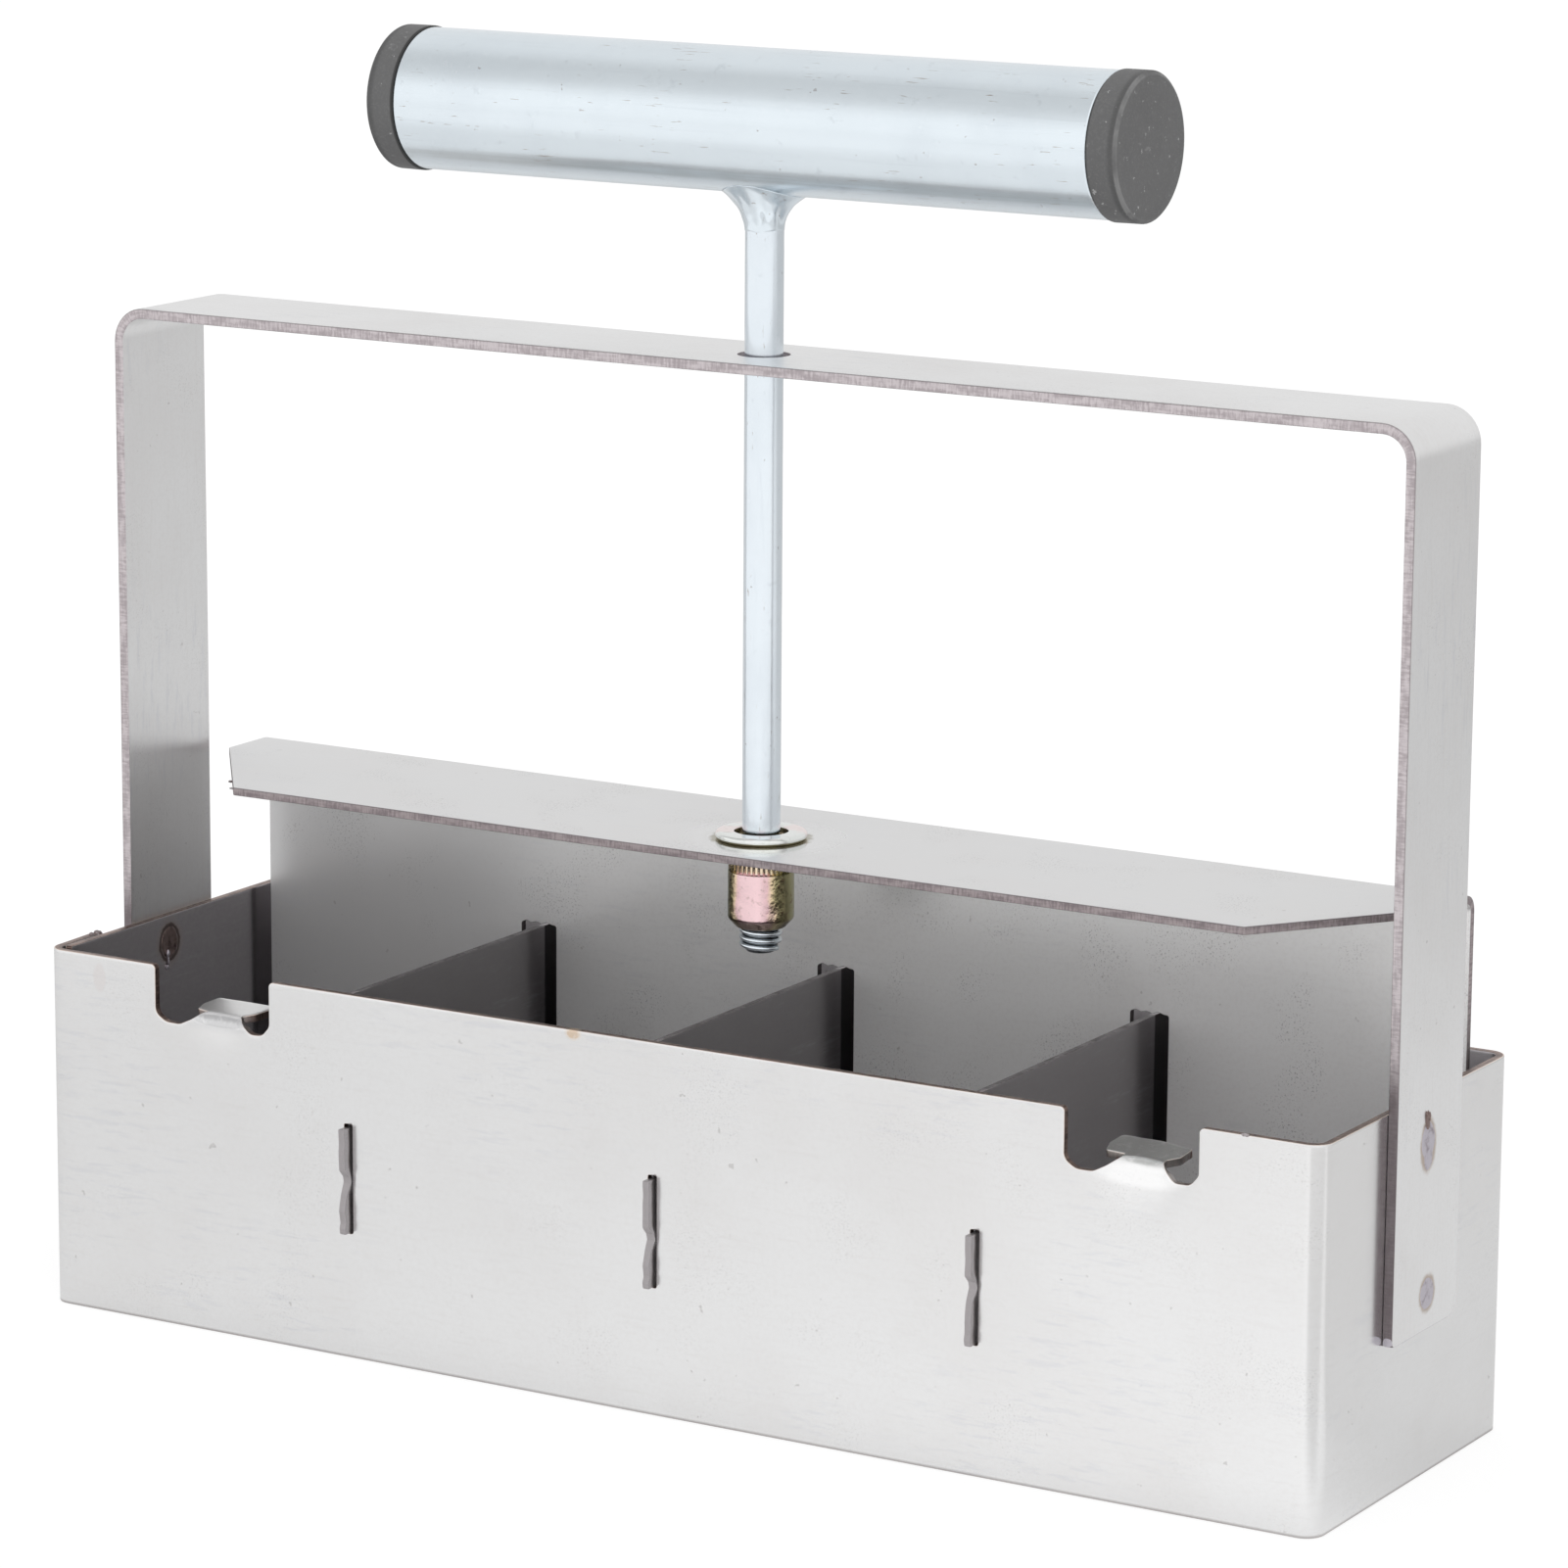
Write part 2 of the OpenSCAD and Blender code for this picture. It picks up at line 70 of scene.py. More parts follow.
CUT = "cut_edge"
DIVIDERS = ("divider_left", "divider_centre", "divider_right")
PINS = ("seed_pin_1", "seed_pin_2", "seed_pin_3", "seed_pin_4")
# The torn top of the ejector's slots: how far across, how deep it is torn and its rounding, in mm
TORN_TOP = (
    (0.0, 0.0, 0.4),
    (0.14, 0.34, 0.22),
    (0.28, 0.05, 0.22),
    (0.42, 0.28, 0.22),
    (0.58, 0.02, 0.22),
    (0.73, 0.36, 0.22),
    (0.87, 0.06, 0.22),
    (1.0, 0.0, 0.3),
)
Triple = tuple[float, float, float]
Colour = Triple
Corner = tuple[float, ...]
Array = np.ndarray
Fold = Callable[[Array], Array]
Object = bpy.types.Object
Material = bpy.types.Material
Worn = dict[str, Material]
Inputs = dict[str | int, object]


class Side(Enum):
    """The two ends of the blocker, as signs along X."""

    LEFT = -1
    RIGHT = 1


class Body(Enum):
    """The bodies of the CAD part that pieces ride on."""

    MOULD = "mould"
    EJECTOR = "ejector"
    HANDLE = "handle"


# Outlines and paths


def mm(*lengths: float) -> tuple[float, ...]:
    """Lengths in metres, from millimetres."""
    return tuple(length * MM for length in lengths)


def middle_x(node: str) -> float:
    """The X of the middle of a CAD node."""
    return sum(corner.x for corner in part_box(node)) / 2


def round_corners(corners: Sequence[Corner], step: float = math.radians(18)) -> Array:
    """Draws a closed outline through corners, with an arc at each rounded one.

    Args:
        corners: The corners in order, as along, across and, where one is rounded, its radius.
        step: The angle between two points of an arc.

    Returns:
        The points of the outline, one row each.
    """
    points: list[Array] = []
    for index, (along, across, *rounding) in enumerate(corners):
        here = np.array((along, across))
        if not rounding:
            points.append(here)
            continue
        radius = rounding[0]
        back = np.array(corners[index - 1][:2]) - here
        ahead = np.array(corners[(index + 1) % len(corners)][:2]) - here
        back /= np.linalg.norm(back)
        ahead /= np.linalg.norm(ahead)
        half = math.acos(float(np.clip(back @ ahead, -1, 1))) / 2
        middle = (back + ahead) / np.linalg.norm(back + ahead)
        centre = here + middle * radius / math.sin(half)
        start = here + back * radius / math.tan(half) - centre
        end = here + ahead * radius / math.tan(half) - centre
        first = math.atan2(start[1], start[0])
        sweep = math.remainder(math.atan2(end[1], end[0]) - first, 2 * math.pi)
        count = max(2, math.ceil(abs(sweep) / step))
        angles = first + sweep * np.arange(count + 1) / count
        points.extend(centre + radius * around(angles))
    return np.array(points)


def around(angle: Array) -> Array:
    """The flat directions at those angles, one row each."""
    return np.column_stack([np.cos(angle), np.sin(angle)])


def turns(count: int) -> Array:
    """Even angles once round."""
    return 2 * math.pi * np.arange(count) / count


def ring_grid(rows: Array, count: int) -> tuple[Array, Array]:
    """The row value and the angle of each point of a stack of rings."""
    row, angle = (grid.ravel() for grid in np.meshgrid(rows, turns(count), indexing="ij"))
    return row, angle


def sides(loop: Array) -> Iterator[tuple[Array, Array]]:
    """The two ends of each side of a closed outline."""
    return zip(loop, np.roll(loop, -1, axis=0))


def spaced(loop: Array, step: float) -> Array:
    """The closed outline with added points along its long lines.

    Args:
        loop: Its points.
        step: The longest line that may stay.

    Returns:
        The denser outline.
    """
    points = []
    for here, there in sides(loop):
        parts = max(1, math.ceil(float(np.linalg.norm(there - here)) / step))
        points.extend(here + (there - here) * part / parts for part in range(parts))
    return np.array(points)


def half_profile(outline: Array) -> Array:
    """The profile of a solid piece: its outline, with only the two ends of the part on the axis."""
    turned = outline[:, 0] > ON_AXIS
    on_axis = outline[~turned, 1]
    return np.vstack([(0, on_axis.min()), outline[turned], (0, on_axis.max())])


def circle(along: float, across: float, radius: float, count: int = 40) -> Array:
    """The points of a round hole."""
    return np.array((along, across)) + radius * around(turns(count))


def ease(value: Array, low: float, high: float) -> Array:
    """A smooth step from 0 at low to 1 at high."""
    share = np.clip((value - low) / (high - low), 0, 1)
    return share * share * (3 - 2 * share)


def ripple(points: Array, wave: float, seed: float) -> Array:
    """Smooth noise from -1 to 1 at each point, with waves of that length."""
    shift = Vector((seed, 0.37 * seed, 0.71 * seed))
    return np.array([noise.noise(Vector(p).to_3d() / wave + shift) for p in points.tolist()])


@dataclass(frozen=True)
class Stretch:
    """One stretch of a folded sheet's middle line: a straight, or a bend if it turns."""

    length: float
    turn: float = 0.0


@dataclass(frozen=True)
class FoldPath:
    """The middle line of a folded sheet, in the plane across its bends."""

    start: tuple[float, float]
    heading: float
    stretches: tuple[Stretch, ...]

    @classmethod
    def square(
        cls, start: tuple[float, float], heading: float, radius: float, *straights: float
    ) -> FoldPath:
        """Straights of those lengths, with a square bend to the right after each but the last.

        Args:
            start: The path's first point.
            heading: The direction in which it starts.
            radius: The bends' radius.
            straights: The lengths.

        Returns:
            The path.
        """
        bend = Stretch(QUARTER * radius, -QUARTER)
        stretches = [part for length in straights for part in (Stretch(length), bend)]
        return cls(start, heading, tuple(stretches[:-1]))

    def length(self, count: int | None = None) -> float:
        """The length of the first count stretches, or of all of them."""
        return sum(stretch.length for stretch in self.stretches[:count])

    def lifted(self, along: Array, height: Array) -> Array:
        """Finds places beside the line.

        Args:
            along: Distances from the start.
            height: Distances to the left of travel, which is the sheet's outside.

        Returns:
            The points, in the plane of the line.
        """
        points = np.zeros((len(along), 2))
        outside = np.zeros((len(along), 2))
        place, heading, begin = np.array(self.start, float), self.heading, 0.0
        for index, stretch in enumerate(self.stretches):
            end = begin + stretch.length
            last = index == len(self.stretches) - 1
            here = (along >= begin if index else along > -1) & ((along < end) | last)
            left = np.array((-math.sin(heading), math.cos(heading)))
            if stretch.turn:
                radius = stretch.length / stretch.turn
                centre = place + radius * left
                angle = heading + stretch.turn * (along[here] - begin) / stretch.length
                outside[here] = np.column_stack([-np.sin(angle), np.cos(angle)])
                points[here] = centre - radius * outside[here]
                heading += stretch.turn
                place = centre - radius * np.array((-math.sin(heading), math.cos(heading)))
            else:
                ahead = np.array((math.cos(heading), math.sin(heading)))
                points[here] = place + np.outer(along[here] - begin, ahead)
                outside[here] = left
                place = place + stretch.length * ahead
            begin = end
        return points + height[:, None] * outside

    def marks(self, step: float, bend_parts: int = 7) -> Array:
        """The distances where a mesh needs points, step apart or less on a straight."""
        marks, begin = [0.0], 0.0
        for stretch in self.stretches:
            parts = bend_parts if stretch.turn else max(1, math.ceil(stretch.length / step))
            marks.extend(begin + stretch.length * (part + 1) / parts for part in range(parts))
            begin += stretch.length
        return np.array(marks)


# Meshes


def linked(name: str, data: bpy.types.ID) -> Object:
    """Makes an object of its data and puts it in the scene.

    Args:
        name: Its name.
        data: Its mesh, camera or light.

    Returns:
        The object.
    """
    made = bpy.data.objects.new(name, data)
    bpy.context.scene.collection.objects.link(made)
    return made


def read(items: bpy.types.bpy_prop_collection, name: str, width: int = 1) -> Array:
    """One property of every item of a mesh, in rows of that width.

    Args:
        items: The mesh's vertices, faces or corners.
        name: The property.
        width: Its count of numbers.

    Returns:
        The rows.
    """
    values = np.zeros(len(items) * width)
    items.foreach_get(name, values)
    return values.reshape(-1, width)


def finish_mesh(name: str, points: Array, faces: Sequence[Sequence[int]]) -> Object:
    """Makes a closed mesh whose faces point outwards and whose normals follow the larger faces.

    Args:
        name: The name of the object.
        points: The vertices, in the row frame.
        faces: The faces, all turned the same way.

    Returns:
        The object, at the origin.
    """
    mesh = bpy.data.meshes.new(name)
    mesh.from_pydata(points.tolist(), [], [list(face) for face in faces])
    mesh.update()
    weighted = read(mesh.polygons, "normal", 3) * read(mesh.polygons, "area")
    if np.sum(read(mesh.polygons, "center", 3) * weighted) < 0:
        mesh.flip_normals()
        weighted = -weighted
    corners = read(mesh.loops, "vertex_index")[:, 0].astype(int)
    totals = read(mesh.polygons, "loop_total")[:, 0].astype(int)
    summed = np.zeros((len(points), 3))
    np.add.at(summed, corners, np.repeat(weighted, totals, axis=0))
    lengths = np.linalg.norm(summed, axis=1, keepdims=True)
    mesh.shade_smooth()
    mesh.normals_split_custom_set_from_vertices((summed / np.maximum(lengths, 1e-12)).tolist())
    return linked(name, mesh)


def add_attribute(mesh: bpy.types.Mesh, name: str, values: Array) -> None:
    """Stores a number or a vector on each vertex, for the materials to read.

    Args:
        mesh: The mesh.
        name: The attribute's name.
        values: One row for each vertex.
    """
    kind = "FLOAT_VECTOR" if values.ndim == 2 else "FLOAT"
    layer = mesh.attributes.new(name, kind, "POINT")
    value_name = "vector" if values.ndim == 2 else "value"
    layer.data.foreach_set(value_name, values.astype(np.float32).ravel())


@dataclass
class Blank:
    """A flat sheet cut to outlines, which becomes a closed mesh once it is folded."""

    outline: Array
    thickness: float
    columns: Array
    rows: Array
    holes: list[Array] = field(default_factory=list)
    edge: float = 0.14 * MM
    closest: float = 0.22 * MM
    merge: float = 1e-7

    def folded(self, name: str, fold: Fold) -> Object:
        """Cuts the blank, gives it its thickness and rounded edges, and folds it.

        Args:
            name: The name of the object.
            fold: Places rows of along, across and depth in the row frame.

        Returns:
            The folded sheet.
        """
        loops = [self._divided(self._turned(self.outline, True))]
        loops.extend(self._divided(self._turned(hole, False)) for hole in self.holes)
        insets = [self._inset(loop) for loop in loops]
        flat, triangles = self._filled(insets)
        rings = [flat, flat]
        half = self.thickness / 2
        heights = [np.full(len(flat), half), np.full(len(flat), -half)]
        cuts = [np.zeros(len(flat)), np.zeros(len(flat))]
        faces = [tuple(t) for t in triangles]
        faces.extend(tuple(len(flat) + i for i in reversed(t)) for t in triangles)
        share = 1 - math.cos(math.pi / 4)
        profile = [(share, half - share * self.edge), (0, half - self.edge)]
        profile.extend([(0, self.edge - half), (share, share * self.edge - half)])
        total, begin = 2 * len(flat), 0
        for loop, inset in zip(loops, insets):
            count = len(loop)
            starts = [begin]
            for inward, height in profile:
                rings.append(loop + (inset - loop) * inward)
                heights.append(np.full(count, height))
                cuts.append(np.full(count, 1.0 - inward))
                starts.append(total)
                total += count
            starts.append(len(flat) + begin)
            for upper, lower in zip(starts, starts[1:]):
                for i in range(count):
                    after = (i + 1) % count
                    faces.append((upper + i, lower + i, lower + after, upper + after))
            begin += count
        placed = np.column_stack([np.vstack(rings), np.concatenate(heights)])
        made = finish_mesh(name, fold(placed), faces)
        add_attribute(made.data, PLACE, placed)
        add_attribute(made.data, CUT, np.concatenate(cuts))
        return made

    @staticmethod
    def _turned(loop: Array, counter_clockwise: bool) -> Array:
        """The loop, turned to run the asked way round."""
        ahead = np.roll(loop, -1, axis=0)
        area = np.sum(loop[:, 0] * ahead[:, 1] - loop[:, 1] * ahead[:, 0])
        return loop if (area > 0) == counter_clockwise else loop[::-1]

    def _divided(self, loop: Array) -> Array:
        """The loop with added points where it crosses the mesh's columns and rows."""
        points = []
        for here, there in sides(loop):
            span = there - here
            gap = self.closest / max(np.linalg.norm(span), TINY)
            shares = []
            for axis, marks in enumerate((self.columns, self.rows)):
                if abs(span[axis]) > TINY:
                    shares.extend((marks - here[axis]) / span[axis])
            kept = [0.0]
            for share in sorted(shares):
                if share - kept[-1] > gap and share < 1 - gap:
                    kept.append(share)
            points.extend(here + share * span for share in kept)
        return np.array(points)

    def _inset(self, loop: Array) -> Array:
        """The loop moved into the sheet by the radius of its rounded edge."""
        ahead = np.roll(loop, -1, axis=0) - loop
        ahead /= np.linalg.norm(ahead, axis=1, keepdims=True)
        left = np.column_stack([-ahead[:, 1], ahead[:, 0]])
        before = np.roll(left, 1, axis=0)
        spread = np.maximum(1 + np.sum(left * before, axis=1), 0.4)
        return loop + self.edge * (left + before) / spread[:, None]

    def _filled(self, loops: list[Array]) -> tuple[Array, list[list[int]]]:
        """Triangulates the sheet inside its loops.

        Args:
            loops: The outer loop, then the holes.

        Returns:
            The points, loops first, and the triangles.
        """
        grid = np.array([(along, across) for along in self.columns for across in self.rows])
        inside = self._within(grid, loops)
        clear = np.full(len(grid), np.inf)
        for loop in loops:
            for here, there in sides(loop):
                span = there - here
                share = np.clip((grid - here) @ span / max(span @ span, 1e-18), 0, 1)
                away = np.linalg.norm(grid - here - share[:, None] * span, axis=1)
                clear = np.minimum(clear, away)
        points = np.vstack([*loops, grid[inside & (clear > self.closest)]])
        edges, begin = [], 0
        for loop in loops:
            edges.extend((begin + i, begin + (i + 1) % len(loop)) for i in range(len(loop)))
            begin += len(loop)
        given = [Vector(point) for point in (points / MM).tolist()]
        made = geometry.delaunay_2d_cdt(given, edges, [], 0, self.merge)
        first = [ids[0] for ids in made[3]]
        triangles = np.array([[first[i] for i in face] for face in made[2]])
        keep = self._within(points[triangles].mean(axis=1), loops)
        return points, triangles[keep].tolist()

    @staticmethod
    def _within(points: Array, loops: list[Array]) -> Array:
        """Which points lie in the outer loop and in no hole."""
        inside = np.zeros(len(points), bool)
        for loop in loops:
            for here, there in sides(loop):
                crosses = (here[1] > points[:, 1]) != (there[1] > points[:, 1])
                if crosses.any():
                    slope = (there[0] - here[0]) / (there[1] - here[1])
                    inside ^= crosses & (points[:, 0] < here[0] + slope * (points[:, 1] - here[1]))
        return inside


def ring_faces(rings: int, count: int, poles: bool) -> list[tuple[int, ...]]:
    """The faces of a closed surface that is made of rings of points.

    Args:
        rings: The number of rings.
        count: The number of points in each.
        poles: Whether two more points close its ends, first the one before the first ring.
            Without them the last ring joins the first.

    Returns:
        The faces, all turned the same way.
    """
    faces: list[tuple[int, ...]] = []
    for ring in range(rings - 1 if poles else rings):
        low, high = ring * count, (ring + 1) % rings * count
        for i in range(count):
            after = (i + 1) % count
            faces.append((low + i, low + after, high + after, high + i))
    if poles:
        first, last, top = rings * count, rings * count + 1, (rings - 1) * count
        for i in range(count):
            after = (i + 1) % count
            faces += [(first, after, i), (last, top + i, top + after)]
    return faces


def lathed(
    name: str,
    profile: Array,
    axis: str = "Z",
    origin: Sequence[float] = (0, 0, 0),
    count: int = 72,
    shape: Fold | None = None,
) -> Object:
    """Turns a closed profile about an axis.

    Args:
        name: The name of the object.
        profile: Points of radius and height. One that touches the axis starts and ends on it.
        axis: The row axis that heights are measured along, X or Z.
        origin: The place of height zero on the axis.
        count: The number of steps round.
        shape: Changes the points, given as radius, height and angle, if anything does.

    Returns:
        The turned piece.
    """
    on_axis = profile[0, 0] < TINY and profile[-1, 0] < TINY
    rings = profile[1:-1] if on_axis else profile
    polar = np.column_stack([np.repeat(rings, count, axis=0), np.tile(turns(count), len(rings))])
    if on_axis:
        polar = np.vstack([polar, (0, profile[0, 1], 0), (0, profile[-1, 1], 0)])
    if shape is not None:
        polar[:, :2] = shape(polar)
    flat, height = polar[:, :1] * around(polar[:, 2]), polar[:, 1]
    points = np.column_stack([flat, height] if axis == "Z" else [height, flat])
    return finish_mesh(name, points + np.array(origin), ring_faces(len(rings), count, on_axis))


def lump(
    name: str,
    centre: Sequence[float],
    radii: Sequence[float],
    uneven: float,
    seed: float,
    count: int,
) -> Object:
    """Makes an uneven rounded lump, such as a weld tack.

    Args:
        name: The name of the object.
        centre: Its middle.
        radii: Its half sizes along X, Y and Z.
        uneven: How far its surface departs from an ellipsoid, as a share.
        seed: A shift of its noise.
        count: The number of steps round.

    Returns:
        The lump.
    """
    rows = count // 2
    down, turn = ring_grid(math.pi * np.arange(1, rows) / rows, count)
    unit = np.column_stack([np.sin(down)[:, None] * around(turn), np.cos(down)])
    unit = np.vstack([unit, (0, 0, 1), (0, 0, -1)])
    swell = 1 + uneven * (ripple(unit, 0.9, seed) + 0.5 * ripple(unit, 0.4, seed + 9))
    points = np.array(centre) + unit * swell[:, None] * np.array(radii)
    return finish_mesh(name, points, ring_faces(rows - 1, count, True))


def lumps(
    prefix: str, sizes: Sequence[tuple], uneven: float, seed: float, count: int = 26
) -> list[Object]:
    """Makes numbered lumps of those centres and radii."""
    return [lump(f"{prefix}_{i}", *both, uneven, seed + i, count) for i, both in enumerate(sizes)]


def dented(push: float, wave: float, stretch: float, seed: float, where: Fold) -> Fold:
    """Makes a shape function for lathed that moves its surface in and out by smooth noise.

    Args:
        push: The largest move.
        wave: The length of the noise's waves, in radians.
        stretch: The height that counts as one radian.
        seed: A shift of the noise.
        where: Tells which points it moves.

    Returns:
        The shape function, from and to radii and heights.
    """

    def moved(polar: Array) -> Array:
        """The points' new radii and heights."""
        place = np.column_stack([around(polar[:, 2]), polar[:, 1] / stretch])
        out = push * ripple(place, wave, seed) * where(polar)
        return np.column_stack([polar[:, 0] + out, polar[:, 1]])

    return moved


def joined(name: str, parts: Sequence[Object]) -> Object:
    """Joins plain meshes into one object at the origin, keeping their normals."""
    with bpy.context.temp_override(active_object=parts[0], selected_editable_objects=list(parts)):
        bpy.ops.object.join()
    parts[0].name = parts[0].data.name = name
    return parts[0]


# Node trees


class Graph:
    """Adds nodes to one node tree."""

    def __init__(self, tree: bpy.types.NodeTree) -> None:
        """Starts on an emptied tree."""
        self.tree = tree
        tree.nodes.clear()

    def node(self, kind: str, inputs: Inputs | None = None, **settings: object) -> bpy.types.Node:
        """Adds one node.

        Args:
            kind: The node's type.
            inputs: A value or a link for each named or numbered socket.
            **settings: Its properties, and "stops" for the stops of a colour ramp.

        Returns:
            The node.
        """
        made = self.tree.nodes.new(kind)
        for name, value in settings.items():
            if name == "stops":
                self._set_stops(made.color_ramp, value)
            else:
                setattr(made, name, value)
        for key, value in (inputs or {}).items():
            source = value.socket if isinstance(value, Wire) else value
            if isinstance(source, bpy.types.NodeSocket):
                self.tree.links.new(source, made.inputs[key])
            else:
                made.inputs[key].default_value = source
        return made

    @staticmethod
    def _set_stops(ramp: bpy.types.ColorRamp, stops: Sequence[tuple[float, Colour]]) -> None:
        """Gives a colour ramp its stops."""
        while len(ramp.elements) < len(stops):
            ramp.elements.new(1.0)
        for element, (position, colour) in zip(ramp.elements, stops):
            element.position = position
            element.color = (*colour, 1.0)

    def wire(
        self, kind: str, inputs: Inputs | None = None, output: int | str = 0, **settings: object
    ) -> Wire:
        """Adds a node and gives one of its outputs for arithmetic."""
        return Wire(self, self.node(kind, inputs, **settings).outputs[output])


def operator(operation: str, reflected: bool = False) -> Callable[[Wire, object], Wire]:
    """An operator of Wire that adds a Math node, with the wire on the right if it is reflected.

    Args:
        operation: The node's operation.
        reflected: Whether the wire is the second value.

    Returns:
        The method.
    """

    def operate(wire: Wire, other: object) -> Wire:
        """The node's result for the wire and the other value."""
        left, right = (other, wire) if reflected else (wire, other)
        return wire.graph.wire("ShaderNodeMath", {0: left, 1: right}, operation=operation)

    return operate


@dataclass(frozen=True)
class Wire:
    """An output socket that takes part in Python arithmetic by adding Math nodes."""

    graph: Graph
    socket: bpy.types.NodeSocket

    __add__, __radd__ = operator("ADD"), operator("ADD", True)
    __sub__, __rsub__ = operator("SUBTRACT"), operator("SUBTRACT", True)
    __mul__, __rmul__ = operator("MULTIPLY"), operator("MULTIPLY", True)
    __truediv__ = operator("DIVIDE")

    def __abs__(self) -> Wire:
        """The value without its sign."""
        return self.graph.wire("ShaderNodeMath", {0: self}, operation="ABSOLUTE")


class Paint(Graph):
    """The node tree of a material or world, with the few patterns that its finish is made from.

    The colour is laid on in coats, and base is what they have come to so far.
    """

    def __init__(self, owner: Material | bpy.types.World) -> None:
        """Empties the owner's node tree."""
        self.owner = owner
        self.base: object = None
        owner.use_nodes = True
        super().__init__(owner.node_tree)

    @classmethod
    def named(cls, name: str) -> Paint:
        """Starts a new material."""
        return cls(bpy.data.materials.new(name))

    def object_place(self) -> Wire:
        """The place on the object, in the row frame."""
        return self.wire("ShaderNodeTexCoord", output="Object")

    def stored(self, name: str, output: str) -> Wire:
        """A value that is stored on the mesh."""
        return self.wire("ShaderNodeAttribute", output=output, attribute_name=name)

    def split(self, vector: Wire) -> tuple[Wire, Wire, Wire]:
        """The three parts of a vector."""
        made = self.node("ShaderNodeSeparateXYZ", {0: vector})
        return tuple(Wire(self, made.outputs[i]) for i in range(3))

    def scaled(self, vector: Wire, scale: Sequence[float]) -> Wire:
        """The vector times a scale along each axis."""
        inputs = {0: vector, 1: tuple(scale)}
        return self.wire("ShaderNodeVectorMath", inputs, operation="MULTIPLY")

    def distance(self, vector: Wire, centre: Sequence[float], scale: Sequence[float]) -> Wire:
        """The length of a scaled step from centre to the vector."""
        inputs = {0: self.scaled(vector, scale), 1: tuple(c * s for c, s in zip(centre, scale))}
        return self.wire("ShaderNodeVectorMath", inputs, "Value", operation="DISTANCE")

    def noise(self, vector: Wire, scale: float, detail: float = 3, rough: float = 0.5) -> Wire:
        """Cloudy noise around 0.5."""
        inputs = {"Vector": vector, "Scale": scale, "Detail": detail, "Roughness": rough}
        return self.wire("ShaderNodeTexNoise", inputs)

    def stretched(self, vector: Wire, scale: Sequence[float], detail: float, rough: float) -> Wire:
        """Cloudy noise around 0.5, with a scale of its own along each axis."""
        return self.noise(self.scaled(vector, scale), 1.0, detail, rough)

    def step(self, value: Wire, low: float, high: float, *ends: float) -> Wire:
        """A smooth step between two ends, or from 0 to 1, where low may be above high."""
        start, end = ends or (0.0, 1.0)
        inputs = {"Value": value, "From Min": low, "From Max": high, "To Min": start, "To Max": end}
        return self.wire("ShaderNodeMapRange", inputs, interpolation_type="SMOOTHSTEP")

    def flecks(self, vector: Wire, scale: float, low: float, high: float, *kind: float) -> Wire:
        """Patches of noise of that scale and kind, from 0 where it is low to 1 where it is high."""
        return self.step(self.noise(vector, scale, *kind), low, high)

    def mix(self, share: object, first: object, second: object) -> Wire:
        """A blend of two colours."""
        first, second = ((*c, 1.0) if isinstance(c, tuple) else c for c in (first, second))
        inputs = {0: share, 6: first, 7: second}
        return self.wire("ShaderNodeMix", inputs, 2, data_type="RGBA")

    def lay(self, share: object, colour: object) -> None:
        """Lays a coat over the base colour, which lets the rest of it through."""
        self.base = self.mix(share, self.base, colour)

    def ramp(self, value: Wire, stops: Sequence[tuple[float, Colour]]) -> Wire:
        """A colour picked from stops."""
        return self.wire("ShaderNodeValToRGB", {0: value}, "Color", stops=stops)

    def bump(self, height: Wire, depth: float, below: Wire | None = None) -> Wire:
        """Normals of a relief of that depth, over those of a relief below it."""
        inputs: Inputs = {"Height": height, "Distance": depth, "Strength": 1.0}
        if below is not None:
            inputs["Normal"] = below
        return self.wire("ShaderNodeBump", inputs)

    def surface(self, metallic: object, rough: object, normal: Wire) -> Material:
        """Closes the material with its shader, over the base colour."""
        inputs = {"Metallic": metallic, "Base Color": self.base, "Roughness": rough}
        shader = self.wire("ShaderNodeBsdfPrincipled", {**inputs, "Normal": normal})
        self.node("ShaderNodeOutputMaterial", {"Surface": shader})
        return self.owner


# Finishes


@dataclass(frozen=True)
class Mark:
    """A tinted spot on a sheet: a body colour inside, a ring round it and a halo outside that."""

    place: Triple
    half_sizes: Triple
    ring: Colour = (0.07, 0.05, 0.045)
    ring_share: float = 0.9
    halo: Colour = (0.50, 0.40, 0.34)
    halo_share: float = 0.4
    halo_reach: float = 1.6
    body: Colour = (0.3, 0.3, 0.28)
    body_share: float = 0.0

    def lay(self, paint: Paint, place: Wire) -> None:
        """Lays the spot over a material's base colour, at its place on the object."""
        scale = tuple(1 / half for half in self.half_sizes)
        crumbs = paint.noise(place, 900, 4, 0.65)
        reach = paint.distance(place, self.place, scale) + (0.34 * crumbs - 0.17)
        if self.halo_share:
            halo = paint.step(reach, self.halo_reach, 0.95)
            paint.lay(halo * self.halo_share, self.halo)
        if self.body_share:
            body = paint.step(reach, 1.06, 0.92) * paint.step(crumbs, 0.30, 0.50)
            paint.lay(body * self.body_share, self.body)
        if self.ring_share:
            ring = paint.step(reach, 1.16, 1.0) * paint.step(reach, 0.74, 0.92)
            paint.lay(ring * self.ring_share, self.ring)


